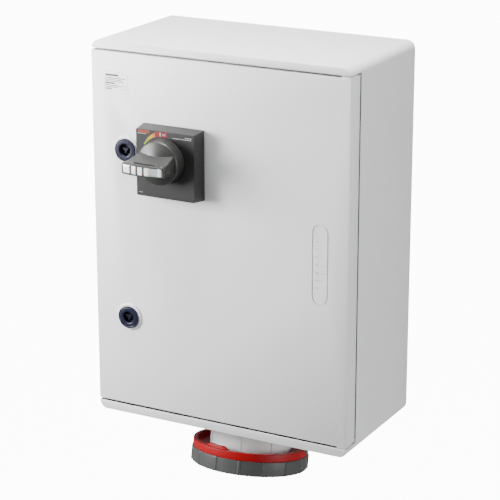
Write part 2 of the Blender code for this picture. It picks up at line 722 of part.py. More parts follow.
def grip_outline():
    """Plan of the grip: a bowed front edge and sides that draw in towards the rotor."""
    root = ROTOR_BACK - GRIP_ROOT
    sides = [(HANDLE_X + GRIP_NECK / 2, root), (HANDLE_X - GRIP_NECK / 2, root)]
    return bowed_line(GRIP_LENGTH, 0, 10) + sides


def grip_flare():
    """Wedge that thickens the grip from its slim front towards the rotor."""
    loops = []
    for depth, height in zip(GRIP_FLARE, (GRIP_FLARE_HEIGHT, GRIP_HEIGHT - OVER)):
        width = GRIP_NECK + (GRIP_LENGTH - GRIP_NECK) * (depth - GRIP_ROOT) / (GRIP_REACH - GRIP_ROOT)
        loops.append((rectangle(width - OVER, height, HANDLE_CENTRE), ROTOR_BACK - depth))
    return skinned("grip_flare", loops, None, "Y")


def handle_knob():
    """Rotor with a coned front, the grip across it and the stem behind it."""
    profile = [
        (ROTOR_RADIUS, ROTOR_BACK),
        (ROTOR_RADIUS, ROTOR_BACK - ROTOR_RIM),
        (ROTOR_RADIUS - ROTOR_EDGE, ROTOR_BACK - ROTOR_RIM - ROTOR_EDGE),
        (ROTOR_CROWN, ROTOR_BACK - ROTOR_DOME),
    ]
    knob = turned("handle_knob", profile, MID_PLASTIC, "Y", HANDLE_CENTRE, 40)
    low = HANDLE_Z - GRIP_HEIGHT / 2
    high = HANDLE_Z + GRIP_HEIGHT / 2
    grip = prism("grip", grip_outline(), low, high, axis="Z")
    soften(grip, GRIP_EDGE)
    stem_end = COUPLER_MID - GAP
    stem = [
        (STEM_RADIUS, ROTOR_BACK - OVER),
        (STEM_RADIUS, CLAMP_BACK + OVER),
        (STEM_END_RADIUS, CLAMP_BACK + OVER),
        (STEM_END_RADIUS, stem_end),
    ]
    join(knob, grip, grip_flare(), turned("stem", stem, None, "Y", HANDLE_CENTRE, 24))
    cut(knob, slide_pocket(), shackle_slot())
    return knob


def slide_body(name, length, height, back, inset, finish=None):
    """The slide's plan: bowed like the grip's front edge, square behind."""
    front = bowed_line(length, inset)
    outline = front + [(front[-1][0], back), (front[0][0], back)]
    return prism(name, outline, HANDLE_Z - height / 2, HANDLE_Z + height / 2, finish, "Z")


def slide_pocket():
    back = ROTOR_BACK - GRIP_REACH + SLIDE_DEPTH + GAP
    return slide_body("slide_pocket", SLIDE_LENGTH + 2 * GAP, SLIDE_HEIGHT + 2 * GAP, back, -GRIP_BULGE)


def shackle_slot():
    """The narrow opening in the grip's top that follows its bowed front."""
    length, width = SHACKLE_SLOT
    near = bowed_line(length, SHACKLE_SLOT_INSET, 6)
    far = bowed_line(length, SHACKLE_SLOT_INSET + width, 6)
    return prism("shackle_slot", near + far[::-1], HANDLE_Z, HANDLE_Z + GRIP_HEIGHT, axis="Z")


def padlock_slide():
    """Pull-out bar with windows for padlock shackles, one at its middle and two to its left."""
    back = ROTOR_BACK - GRIP_REACH + SLIDE_DEPTH
    slide = slide_body("padlock_slide", SLIDE_LENGTH, SLIDE_HEIGHT, back, SLIDE_SINK, CLEAR_WHITE)
    front = ROTOR_BACK - GRIP_REACH + OVER
    for i in range(SHACKLE_WINDOWS):
        x = HANDLE_X - i * SHACKLE_PITCH
        low = (x - SHACKLE_WINDOW / 2, front, HANDLE_Z - GRIP_HEIGHT)
        high = (x + SHACKLE_WINDOW / 2, front + SHACKLE_WINDOW + OVER, HANDLE_Z + GRIP_HEIGHT)
        cut(slide, block(f"shackle_window_{i}", low, high))
    return slide


def shaft_coupler():
    """Cup on the stem's end that slips over the switch's square shaft as the door closes."""
    profile = [(COUPLER_RADIUS, COUPLER_FRONT), (COUPLER_RADIUS, COUPLER_BACK)]
    cup = turned("shaft_coupler", profile, BLACK_PLASTIC, "Y", HANDLE_CENTRE, 32)
    stem_bore = circle(STEM_END_RADIUS + GAP, 32, HANDLE_CENTRE)
    cut(cup, prism("coupler_stem_bore", stem_bore, COUPLER_FRONT - OVER, COUPLER_MID))
    side = SHAFT_SIDE + 2 * SHAFT_PLAY
    socket = rectangle(side, side, HANDLE_CENTRE)
    cut(cup, prism("coupler_socket", socket, COUPLER_MID + COUPLER_FLOOR, COUPLER_BACK + OVER))
    return cup


# ---------------------------------------------------------------- door locks


def door_lock(side):
    """Collar, bush and nut on the door, and the turning core with its cam."""
    centre = (LOCK_X, LOCK_HEIGHTS[side])
    collar_back = FRONT - GAP
    collar_front = collar_back - COLLAR_THICK
    hole = BARREL_RADIUS + RUN
    chamfer = OVER / 2
    collar_shape = [
        (COLLAR_RADIUS, collar_back),
        (COLLAR_RADIUS, collar_front + chamfer),
        (COLLAR_RADIUS - chamfer, collar_front),
        (hole, collar_front),
        (hole, collar_back),
    ]
    collar = turned(f"{side}_lock_collar", collar_shape, WHITE_PLASTIC, "Y", centre, 24, ring=True)
    flange_back = collar_front - GAP
    flange_front = flange_back - BUSH_THICK
    barrel_end = DOOR_INSIDE + BARREL_REACH
    core_seat = DOOR_INSIDE + CORE_SEAT_FLOOR
    bush_shape = [
        (BUSH_RADIUS, flange_back),
        (BUSH_RADIUS, flange_front + chamfer),
        (BUSH_RADIUS - chamfer, flange_front),
        (KEY_HOLE_RADIUS, flange_front),
        (KEY_HOLE_RADIUS, core_seat),
        (CORE_SEAT_RADIUS, core_seat),
        (CORE_SEAT_RADIUS, barrel_end),
        (BARREL_RADIUS, barrel_end),
        (BARREL_RADIUS, flange_back),
    ]
    bush = turned(f"{side}_lock_bush", bush_shape, BLUE_PLASTIC, "Y", centre, 24, ring=True)
    nut_front = DOOR_INSIDE + GAP
    nut_loops = [(nut_outline(centre), nut_front), (nut_outline(centre), nut_front + NUT_THICK)]
    bore_loops = [(circle(hole, 24, centre), height) for _, height in reversed(nut_loops)]
    nut = skinned(f"{side}_lock_nut", nut_loops + bore_loops, ZINC, "Y", ring=True)
    return collar, bush, nut, lock_core(side, centre, core_seat), lock_cam(side, centre)


def nut_outline(centre):
    """A hexagon with four points on each side."""
    corners = arc(NUT_RADIUS, 0, math.tau, 6, centre)
    points = []
    for (x0, z0), (x1, z1) in zip(corners, corners[1:]):
        points += [(x0 + (x1 - x0) * i / 4, z0 + (z1 - z0) * i / 4) for i in range(4)]
    return points


def cam_front():
    """The cams turn just behind the keeper lugs."""
    return keeper_front() + KEEPER_THICK + CAM_CLEAR


def keeper_front():
    return DOOR_INSIDE + BARREL_REACH + CAM_CLEAR


def lock_core(side, centre, core_seat):
    """Triangular key spindle, bearing drum and the square that carries the cam."""
    drum_front = core_seat + GAP
    profile = [
        (KEY_HOLE_RADIUS - RUN, core_seat - CORE_NOSE),
        (KEY_HOLE_RADIUS - RUN, drum_front),
        (CORE_SEAT_RADIUS - RUN, drum_front),
        (CORE_SEAT_RADIUS - RUN, cam_front() - GAP),
    ]
    core = turned(f"{side}_lock_core", profile, BLUE_PLASTIC, "Y", centre, 24)
    corner = TRIANGLE_SIDE / math.sqrt(3)
    triangle = arc(corner, -math.pi / 2, math.tau - math.pi / 2, 3, centre)[:-1]
    join(core, prism(f"{side}_key_triangle", triangle, FRONT - KEY_PROUD, core_seat))
    square = rectangle(CAM_SQUARE, CAM_SQUARE, centre)
    front = cam_front()
    return join(core, prism(f"{side}_core_square", square, front - OVER, front + CAM_THICK + OVER))


def lock_cam(side, centre):
    """Flat finger, pointing down while the lock is open."""
    half = CAM_WIDTH / 2
    x, z = centre
    head = arc(CAM_WIDTH * 0.8, 0, math.pi, 12, centre)
    outline = head + [(x - half, z - CAM_LENGTH), (x + half, z - CAM_LENGTH)]
    cam = prism(f"{side}_lock_cam", outline, cam_front(), cam_front() + CAM_THICK, ZINC)
    side_length = CAM_SQUARE + 2 * GAP
    square = rectangle(side_length, side_length, centre)
    front = cam_front()
    return cut(cam, prism(f"{side}_cam_square", square, front - OVER, front + CAM_THICK + OVER))


def keeper(side):
    """Angle piece on the rim's inner face; a lug of it stands in front of the turned cam."""
    z = LOCK_HEIGHTS[side]
    base_x = -RIM_INNER_X + GAP
    low_z = z - KEEPER_HEIGHT / 2
    high_z = z + KEEPER_HEIGHT / 2
    front = keeper_front()
    leg_high = (base_x + KEEPER_THICK, SHELF_BACK, high_z)
    leg = block(f"{side}_keeper", (base_x, front, low_z), leg_high, GALVANISED)
    lug_low = (base_x + KEEPER_THICK / 2, front, low_z + 2 * OVER)
    lug_high = (base_x + KEEPER_THICK + KEEPER_LUG, front + KEEPER_THICK, high_z - 2 * OVER)
    return join(leg, block(f"{side}_keeper_lug", lug_low, lug_high))


# ---------------------------------------------------------------- inside the cabinet


def mounting_plate():
    outline = rounded_rectangle(*MOUNTING_PLATE, MOUNTING_PLATE_CORNER, steps=3)
    plate = prism("mounting_plate", outline, PLATE_Y_FRONT, PLATE_Y, GALVANISED)
    for i, centre in enumerate(boss_centres()):
        bore = circle(SCREW / 2 + RUN, 12, centre)
        cut(plate, prism(f"plate_hole_{i}", bore, PLATE_Y_FRONT - OVER, PLATE_Y + OVER))
        screw(f"mounting_plate_screw_{i + 1}", centre, PLATE_Y_FRONT - GAP, -WALL - OVER - GAP, "Y")
    return plate


def switch_body():
    """Moulded base of the three-pole switch, with a recess at the bottom for each outgoing lug."""
    outline = rounded_rectangle(*SWITCH_SIZE, SWITCH_CORNER, HANDLE_CENTRE, 2)
    body = prism("switch_body", outline, SWITCH_SPLIT, SWITCH_BACK, BLACK_PLASTIC)
    bottom = HANDLE_Z - SWITCH_SIZE[1] / 2
    for i, x in enumerate(pole_places()):
        width, behind = POLE_RECESS
        low = (x - width / 2, SWITCH_SPLIT - OVER, bottom - OVER)
        high = (x + width / 2, LUG_Y + behind, bottom + LUG_LENGTH)
        cut(body, block(f"pole_recess_{i}", low, high))
    return body


def pole_places():
    return [HANDLE_X + i * POLE_PITCH for i in (-1, 0, 1)]


def switch_cover():
    """Hollow front of the switch with the openings for its toggle and its trip button."""
    outline = rounded_rectangle(*SWITCH_SIZE, SWITCH_CORNER, HANDLE_CENTRE, 2)
    back = SWITCH_SPLIT - GAP
    cover = prism("switch_cover", outline, COVER_FRONT, back, DARK_PLASTIC)
    inner = [side - 2 * SWITCH_WALL for side in SWITCH_SIZE]
    hollow = rectangle(*inner, HANDLE_CENTRE)
    cut(cover, prism("cover_hollow", hollow, COVER_FRONT + SWITCH_WALL, back + OVER))
    slot_half = TOGGLE_PIVOT_DEPTH * math.tan(TOGGLE_SWING) + TOGGLE_THICK
    slot = rectangle(TOGGLE_WIDTH + 2 * OVER, 2 * slot_half, HANDLE_CENTRE)
    front = COVER_FRONT - OVER
    behind = COVER_FRONT + SWITCH_WALL + OVER
    cut(cover, prism("toggle_slot", slot, front, behind))
    return cut(cover, prism("trip_hole", circle(TRIP_RADIUS + RUN, 24, trip_centre()), front, behind))


def trip_centre():
    return (HANDLE_X + TRIP_OFFSET[0], HANDLE_Z + TRIP_OFFSET[1])


def trip_button():
    """Sprung test button with a flange that keeps it inside the cover."""
    inside = COVER_FRONT + SWITCH_WALL + GAP
    profile = [
        (TRIP_RADIUS - OVER / 2, COVER_FRONT - TRIP_PROUD),
        (TRIP_RADIUS, COVER_FRONT - TRIP_PROUD + OVER / 2),
        (TRIP_RADIUS, inside),
        (TRIP_RADIUS + TRIP_FLANGE, inside),
        (TRIP_RADIUS + TRIP_FLANGE, inside + TRIP_FLANGE),
        (TRIP_RADIUS / 2, inside + TRIP_FLANGE),
        (TRIP_RADIUS / 2, inside + TRIP_TAIL),
    ]
    return turned("trip_button", profile, RED_PLASTIC, "Y", trip_centre(), 24)


def load_terminal(number, x):
    """Cable lug: a drilled tongue in the switch and a barrel that grips the conductor."""
    bottom = HANDLE_Z - SWITCH_SIZE[1] / 2
    mouth = bottom - LUG_LENGTH
    width, thick = LUG_TONGUE
    tongue_low = (x - width / 2, LUG_Y - thick / 2, bottom - 2 * OVER)
    tongue_high = (x + width / 2, LUG_Y + thick / 2, bottom + LUG_LENGTH - GAP)
    lug = block(f"load_terminal_{number}", tongue_low, tongue_high, BRASS)
    barrel = circle(LUG_RADIUS, 20, (x, LUG_Y))
    join(lug, prism(f"lug_barrel_{number}", barrel, mouth, bottom - OVER, axis="Z"))
    bore = circle(WIRE_RADIUS + GAP, 20, (x, LUG_Y))
    cut(lug, prism(f"lug_bore_{number}", bore, mouth - OVER, mouth + LUG_BITE, axis="Z"))
    hole = circle(LUG_EYE, 16, (x, bottom + LUG_LENGTH / 2))
    return cut(lug, prism(f"lug_hole_{number}", hole, LUG_Y - thick, LUG_Y + thick))


def mechanism_housing():
    """Box over the toggle that turns the shaft's quarter turn into an up and down stroke."""
    outline = rounded_rectangle(*HOUSING_SIZE, HOUSING_CORNER, HANDLE_CENTRE, 3)
    housing = prism("mechanism_housing", outline, HOUSING_FRONT, HOUSING_BACK, DARK_PLASTIC)
    soften(housing, OVER, 1)
    inner = [side - 2 * SWITCH_WALL for side in HOUSING_SIZE]
    hollow = rectangle(*inner, HANDLE_CENTRE)
    cut(housing, prism("housing_hollow", hollow, HOUSING_FRONT + SWITCH_WALL, HOUSING_BACK + OVER))
    bore = circle(CRANK_HUB + RUN, 32, HANDLE_CENTRE)
    inside = HOUSING_FRONT + SWITCH_WALL
    return cut(housing, prism("shaft_bearing", bore, HOUSING_FRONT - OVER, inside + OVER))


def extension_shaft():
    """Square bar out to the door, a bearing hub, and a disc with the crank pin."""
    profile = [
        (CRANK_HUB, HOUSING_FRONT - OVER),
        (CRANK_HUB, CRANK_FRONT),
        (CRANK_DISC, CRANK_FRONT),
        (CRANK_DISC, CRANK_BACK),
    ]
    shaft = turned("extension_shaft", profile, ZINC, "Y", HANDLE_CENTRE, 32)
    square = rectangle(SHAFT_SIDE, SHAFT_SIDE, HANDLE_CENTRE)
    join(shaft, prism("shaft_square", square, SHAFT_END, HOUSING_FRONT))
    pin = circle(CRANK_PIN, 16, (HANDLE_X - CRANK_OFFSET, HANDLE_Z - CRANK_OFFSET))
    return join(shaft, prism("crank_pin", pin, CRANK_BACK - OVER, SLIDER_BACK + OVER))


def drive_slider():
    """Plate that the crank pin lifts; its window takes the toggle with it."""
    centre = (HANDLE_X, HANDLE_Z - CRANK_OFFSET)
    slider = prism("drive_slider", rectangle(*SLIDER_SIZE, centre), SLIDER_FRONT, SLIDER_BACK, GALVANISED)
    slot_left = CRANK_RADIUS + CRANK_PIN + SLOT_CLEAR
    slot_right = CRANK_OFFSET - CRANK_PIN - SLOT_CLEAR
    slot_height = 2 * (CRANK_PIN + SLOT_PLAY)
    slot_centre = (HANDLE_X - (slot_left + slot_right) / 2, centre[1])
    slot = rectangle(slot_left - slot_right, slot_height, slot_centre)
    cut(slider, prism("crank_slot", slot, SLIDER_FRONT - OVER, SLIDER_BACK + OVER))
    lean = TOGGLE_THICK / 2 / math.cos(TOGGLE_SWING) + SLIDER_THICK / 2 * math.tan(TOGGLE_SWING)
    window = rectangle(TOGGLE_WIDTH + OVER, 2 * (lean + WINDOW_PLAY), centre)
    return cut(slider, prism("toggle_window", window, SLIDER_FRONT - OVER, SLIDER_BACK + OVER))


def switch_toggle(frame):
    """The switch's own lever, leaning down at off, drawn about its pivot."""
    half = TOGGLE_THICK / 2
    radius, length = TOGGLE_HUB
    profile = [(radius, -length / 2), (radius, length / 2)]
    hub = turned("switch_toggle", profile, BLACK_PLASTIC, "X", (0, 0), 24)
    low = (-TOGGLE_WIDTH / 2, -TOGGLE_REACH, -half)
    high = (TOGGLE_WIDTH / 2, 0, half)
    lever = block("toggle_lever", low, high)
    join(hub, lever)
    seat(frame, hub, lever)
    return hub


def earth_bar():
    width, depth, height = EARTH_BAR
    x, z = EARTH_BAR_CENTRE
    back = PLATE_Y_FRONT - GAP
    low = (x - width / 2, back - 2 * (LUG_RADIUS + OVER), z - height / 2)
    high = (x + width / 2, back, z + height / 2)
    bar = block("earth_bar", low, high, BRASS)
    entry = circle(WIRE_RADIUS + GAP, 20, (x, earth_entry_y()))
    cut(bar, prism("earth_entry", entry, low[2] - OVER, low[2] + depth, axis="Z"))
    tap_radius, tap_depth = EARTH_TAP
    for i in (-1, 1):
        hole = circle(tap_radius, 16, (x + i * width / 3, z))
        cut(bar, prism(f"earth_tap_{i + 1}", hole, low[1] - OVER, low[1] + tap_depth))
    return bar


def earth_entry_y():
    return PLATE_Y_FRONT - GAP - LUG_RADIUS - OVER


def bezier_points(start, start_pull, end_pull, end, count):
    """Points along one cubic curve, ends included."""
    points = []
    for i in range(count + 1):
        t = i / count
        s = 1 - t
        points.append(start * s**3 + start_pull * (3 * s * s * t) + end_pull * (3 * s * t * t) + end * t**3)
    return points


def conductor(name, top, frame, contact, colour):
    """A stiff insulated conductor from a lug straight down, over, and into a socket contact."""
    rear = frame.matrix_world @ Vector((*contact, -CONTACT_REAR - LUG_BITE + GAP))
    inward = frame.matrix_world.to_3x3() @ Vector((0, 0, 1))
    start = Vector(top)
    down = Vector((0, 0, -1))
    below = start + down * (LUG_BITE + OVER)
    above = rear + inward * (LUG_BITE + OVER)
    pulls = (below + down * WIRE_PULLS[0], above + inward * WIRE_PULLS[1])
    curve = bezier_points(below, *pulls, above, 10)
    points = [start, *curve, rear]
    data = bpy.data.curves.new(name, "CURVE")
    data.dimensions = "3D"
    data.bevel_depth = WIRE_RADIUS
    data.bevel_resolution = 2
    data.use_fill_caps = True
    spline = data.splines.new("POLY")
    spline.points.add(len(points) - 1)
    for knot, point in zip(spline.points, points):
        knot.co = (*point, 1)
    wire = bpy.data.objects.new(name, data)
    bpy.context.scene.collection.objects.link(wire)
    data.materials.append(finish_material(name, (colour, 0.5, 0.0)))
    return wire


# ---------------------------------------------------------------- socket, drawn about its tilted axis


def socket_neck(frame):
    """Flange on the cabinet's bottom, the tilted neck, its inner shelf and three bayonet lugs."""
    profile = [(NECK_RADIUS, -NECK_END), (NECK_RADIUS, NECK_TOP)]
    neck = turned("socket_neck", profile, WHITE_PLASTIC, steps=48)
    seat(frame, neck)
    slab = rounded_rectangle(FLANGE_SIZE, FLANGE_SIZE, FLANGE_CORNER, (0, SOCKET_Y))
    under = -HALF_HEIGHT - GAP
    join(neck, prism("neck_flange", slab, under - FLANGE_THICK, under + OVER, axis="Z"))
    above = block("above_flange", (-HALF_WIDTH, FRONT, under), (HALF_WIDTH, 0, under + NECK_CLEAR))
    cut(neck, above)
    shelf_top, shelf_bottom = NECK_SHELF
    bore = turned("neck_bore", [(NECK_BORE, -NECK_END - OVER), (NECK_BORE, -shelf_bottom)], steps=48)
    throat_profile = [(NECK_SHELF_BORE, -shelf_bottom - OVER), (NECK_SHELF_BORE, NECK_CLEAR)]
    throat = turned("neck_throat", throat_profile, steps=32)
    rear = turned("neck_rear_bore", [(NECK_REAR_BORE, -shelf_top), (NECK_REAR_BORE, NECK_CLEAR)], steps=32)
    seat(frame, bore, throat, rear)
    cut(neck, bore, throat, rear)
    lug_top = NECK_END - NECK_LUG_THICK
    lug_bottom = NECK_END - SHY
    centres = lug_centres(-RING_TURN)
    lugs = sectors("neck_lug", NECK_BORE + OVER, NECK_LUG_RADIUS, lug_top, lug_bottom, centres)
    seat(frame, *lugs)
    join(neck, *lugs)
    for i, (sx, sy) in enumerate(corner_signs()):
        centre = (sx * FLANGE_SCREW_OFFSET, SOCKET_Y + sy * FLANGE_SCREW_OFFSET)
        hole = circle(SCREW / 2 + RUN, 12, centre)
        cut(neck, prism(f"neck_screw_hole_{i}", hole, under - FLANGE_THICK - OVER, under + OVER, axis="Z"))
        head_side = under - FLANGE_THICK - GAP
        screw(f"neck_screw_{i + 1}", centre, head_side, -HALF_HEIGHT + WALL + NECK_SCREW_END, "Z")
    return neck


def lug_centres(start):
    """Directions of the evenly spaced bayonet lugs."""
    return [start + math.tau * i / LUG_COUNT for i in range(LUG_COUNT)]


def sectors(name, inner, outer, top, bottom, centres):
    """Blocks round the axis, each the width of a bayonet lug, between two depths."""
    pieces = []
    for i, centre in enumerate(centres):
        low = centre - LUG_ANGLE / 2
        high = centre + LUG_ANGLE / 2
        outline = arc(outer, low, high, 5) + arc(inner, high, low, 5)
        pieces.append(prism(f"{name}_{i}", outline, -bottom, -top, axis="Z"))
    return pieces


def contact_places():
    """Places of the contacts round the socket's axis, earth towards the wall."""
    names = ("phase_contact_1", "phase_contact_2", "phase_contact_3", "earth_contact")
    angles = (math.pi, -math.pi / 2, 0.0, math.pi / 2)
    return {n: (CONTACT_CIRCLE * math.cos(a), CONTACT_CIRCLE * math.sin(a)) for n, a in zip(names, angles)}


def contact_carrier(frame):
    """Insulating core with a bore for each contact and a keyway in its rim."""
    shelf = NECK_SHELF[1] + GAP
    under = shelf + CARRIER_FLANGE
    profile = [
        (NECK_BORE - GAP, -shelf),
        (NECK_BORE - GAP, -under),
        (CARRIER_RADIUS, -under),
        (CARRIER_RADIUS, -CARRIER_END + OVER),
        (CARRIER_RADIUS - OVER, -CARRIER_END),
    ]
    carrier = turned("contact_carrier", profile, BLACK_PLASTIC, steps=40)
    seat(frame, carrier)
    for name, place in contact_places().items():
        outline = circle(CONTACT_RADIUS + GAP, 20, place)
        bore = prism(f"{name}_bore", outline, -CARRIER_END - OVER, 0, axis="Z")
        seat(frame, bore)
        cut(carrier, bore)
    key_low = (-KEYWAY / 2, -CARRIER_RADIUS - OVER, -CARRIER_END - OVER)
    key = block("keyway", key_low, (KEYWAY / 2, -CARRIER_RADIUS + KEYWAY / 2, -under - OVER))
    seat(frame, key)
    return cut(carrier, key)


def socket_contact(name, place, bore, frame):
    """Brass tube open at the mouth end for a plug pin and at the rear for its conductor."""
    profile = [(CONTACT_RADIUS, -CONTACT_END), (CONTACT_RADIUS, CONTACT_TOP)]
    contact = turned(name, profile, BRASS, centre=place, steps=20)
    pin = circle(bore, 20, place)
    front = prism(f"{name}_pin_bore", pin, -CONTACT_END - OVER, -CONTACT_END + PIN_DEPTH, axis="Z")
    core = circle(WIRE_RADIUS + GAP, 20, place)
    rear = prism(f"{name}_wire_bore", core, -CONTACT_REAR - LUG_BITE, NECK_CLEAR, axis="Z")
    seat(frame, contact, front, rear)
    return cut(contact, front, rear)


def colour_collar(frame):
    """Coloured band: a web on the neck, a wall round the rim and two ramps that stand above it."""
    inner = COLLAR_BAND_RADIUS - RING_WALL
    web_top = COLLAR_BAND_END - COLLAR_WEB
    profile = [
        (COLLAR_BAND_RADIUS, -COLLAR_BAND_TOP),
        (inner, -COLLAR_BAND_TOP),
        (inner, -web_top),
        (NECK_RADIUS + GAP, -web_top),
        (NECK_RADIUS + GAP, -COLLAR_BAND_END),
        (COLLAR_BAND_RADIUS, -COLLAR_BAND_END),
    ]
    collar = turned("colour_collar", profile, RED_PLASTIC, steps=60, ring=True)
    ramp_top = COLLAR_BAND_TOP - RAMP_RISE
    ramps = sectors("ramp", inner - RAMP_DEPTH, inner + OVER, ramp_top, web_top + OVER, RAMP_CENTRES)
    reach = (inner - OVER, COLLAR_BAND_RADIUS + OVER)
    notch = bracket_sector("collar_notch", reach, (-web_top, -ramp_top), GAP)
    seat(frame, collar, *ramps, notch)
    join(collar, *ramps)
    return cut(collar, notch)


def bracket_sector(name, radii, heights, margin, finish=None):
    """The stretch of the rim that the hinge bracket fills, widened by a margin at each end."""
    inner, outer = radii
    start = BRACKET_START - margin / outer
    end = BRACKET_END + margin / outer
    outline = arc(outer, start, end, 14) + arc(inner, end, start, 14)
    return prism(name, outline, *heights, finish, "Z")


def lid_hinge_bracket(frame):
    """Grey segment of the rim with two ears that reach down outside the ring to the lid's hinge."""
    inner = COLLAR_BAND_RADIUS - RING_WALL
    low = -COLLAR_BAND_END + COLLAR_WEB + GAP
    high = -COLLAR_BAND_TOP + BRACKET_RISE
    radii = (inner, COLLAR_BAND_RADIUS + BRACKET_PROUD)
    bracket = bracket_sector("lid_hinge_bracket", radii, (low, high), 0, DARK_PLASTIC)
    seat(frame, bracket)
    near = LID_ARM_WIDTH / 2 + GAP
    far = near + EAR_THICK
    outer = LID_HINGE_REACH + LID_EYE_RADIUS
    back = outer - 2 * LID_EYE_RADIUS
    for side, (low_x, high_x) in {"left": (-far, -near), "right": (near, far)}.items():
        root_low = (low_x, inner + 2 * OVER, low + SHY)
        root = block(f"{side}_ear_root", root_low, (high_x, outer, high - SHY))
        leg = block(f"{side}_ear_leg", (low_x, back, -LID_HINGE_DEPTH), (high_x, outer, high - OVER))
        eye = hinge_disc(f"{side}_ear_eye", LID_EYE_RADIUS, low_x, high_x)
        seat(frame, root, leg, eye)
        join(bracket, root, leg, eye)
    bore = hinge_disc("ear_bore", HINGE_PIN / 2 + RUN, -far - OVER, far + OVER, 16)
    seat(frame, bore)
    return cut(bracket, bore)


def hinge_disc(name, radius, low, high, steps=20, finish=None):
    """A round body on the lid's hinge axis."""
    outline = circle(radius, steps, (LID_HINGE_REACH, -LID_HINGE_DEPTH))
    return prism(name, outline, low, high, finish, "X")


def lid_hinge_pin(frame):
    reach = LID_ARM_WIDTH / 2 + EAR_THICK + OVER
    seat(frame, hinge_disc("lid_hinge_pin", HINGE_PIN / 2, -reach, reach, 16, ZINC))


def lid_cap(frame):
    """Disc inside the ring, and the arm that goes under the ring and back to the hinge."""
    cap = turned("lid_cap", [(LID_RADIUS, -LID_BACK), (LID_RADIUS, -LID_TOP)], DARK_PLASTIC, steps=60)
    arm_top = RING_END + GAP
    arm_bottom = arm_top + LID_ARM_THICK
    hub = turned("lid_hub", [(LID_HUB_END, -arm_bottom), (LID_HUB_ROOT, -LID_BACK + OVER)], steps=48)
    half = LID_ARM_WIDTH / 2
    arm_root = (-half, LID_ARM_ROOT, -arm_bottom)
    arm = block("lid_arm", arm_root, (half, LID_HINGE_REACH, -arm_top))
    eye = hinge_disc("lid_eye", LID_EYE_RADIUS, -half, half)
    bore = hinge_disc("lid_eye_bore", HINGE_PIN / 2 + RUN, -half - OVER, half + OVER, 16)
    seat(frame, cap, hub, arm, eye, bore)
    join(cap, hub, arm, eye)
    return cut(cap, bore)


def lid_seal(frame):
    low = -LID_TOP + GAP
    profile = tube_profile(LID_SEAL_BORE, LID_SEAL_RADIUS, low, low + LID_SEAL_THICK)
    seal = turned("lid_seal", profile, FOAM, steps=40, ring=True)
    seat(frame, seal)
    return seal


def ring_outline():
    """The ring's outer edge: round, with equally spaced narrow grip ribs."""
    points = []
    step = math.tau / RING_RIBS
    for i in range(RING_RIBS):
        a = RING_RIB_START + i * step
        points += arc(RING_RADIUS + RING_RIB, a - RING_RIB_TOP, a + RING_RIB_TOP, 1)
        points += arc(RING_RADIUS, a + RING_RIB_FOOT, a + step - RING_RIB_FOOT, 3)
    return points


def at_radius(outline, radius):
    """The same directions from the axis, all at one radius."""
    return [(radius * u / math.hypot(u, v), radius * v / math.hypot(u, v)) for u, v in outline]


def lid_ring(frame):
    """Bayonet ring round the lid: grip ribs outside, a lip under the lid and lugs for the neck's lugs."""
    outer = ring_outline()
    inner_radius = RING_RADIUS - RING_WALL
    inner = at_radius(outer, inner_radius)
    lip = at_radius(outer, RING_LIP_RADIUS)
    loops = [
        (outer, -RING_TOP),
        (outer, -RING_END),
        (lip, -RING_END),
        (lip, -RING_LIP_TOP),
        (inner, -RING_LIP_TOP),
        (inner, -RING_TOP),
    ]
    ring = skinned("lid_ring", loops, MID_PLASTIC, ring=True)
    lug_top = NECK_END - NECK_LUG_THICK - GAP - RING_LUG_THICK
    lug_bottom = lug_top + RING_LUG_THICK
    lugs = sectors("ring_lug", RING_LUG_RADIUS, inner_radius + OVER, lug_top, lug_bottom, lug_centres(0.0))
    seat(frame, ring, *lugs)
    return join(ring, *lugs)


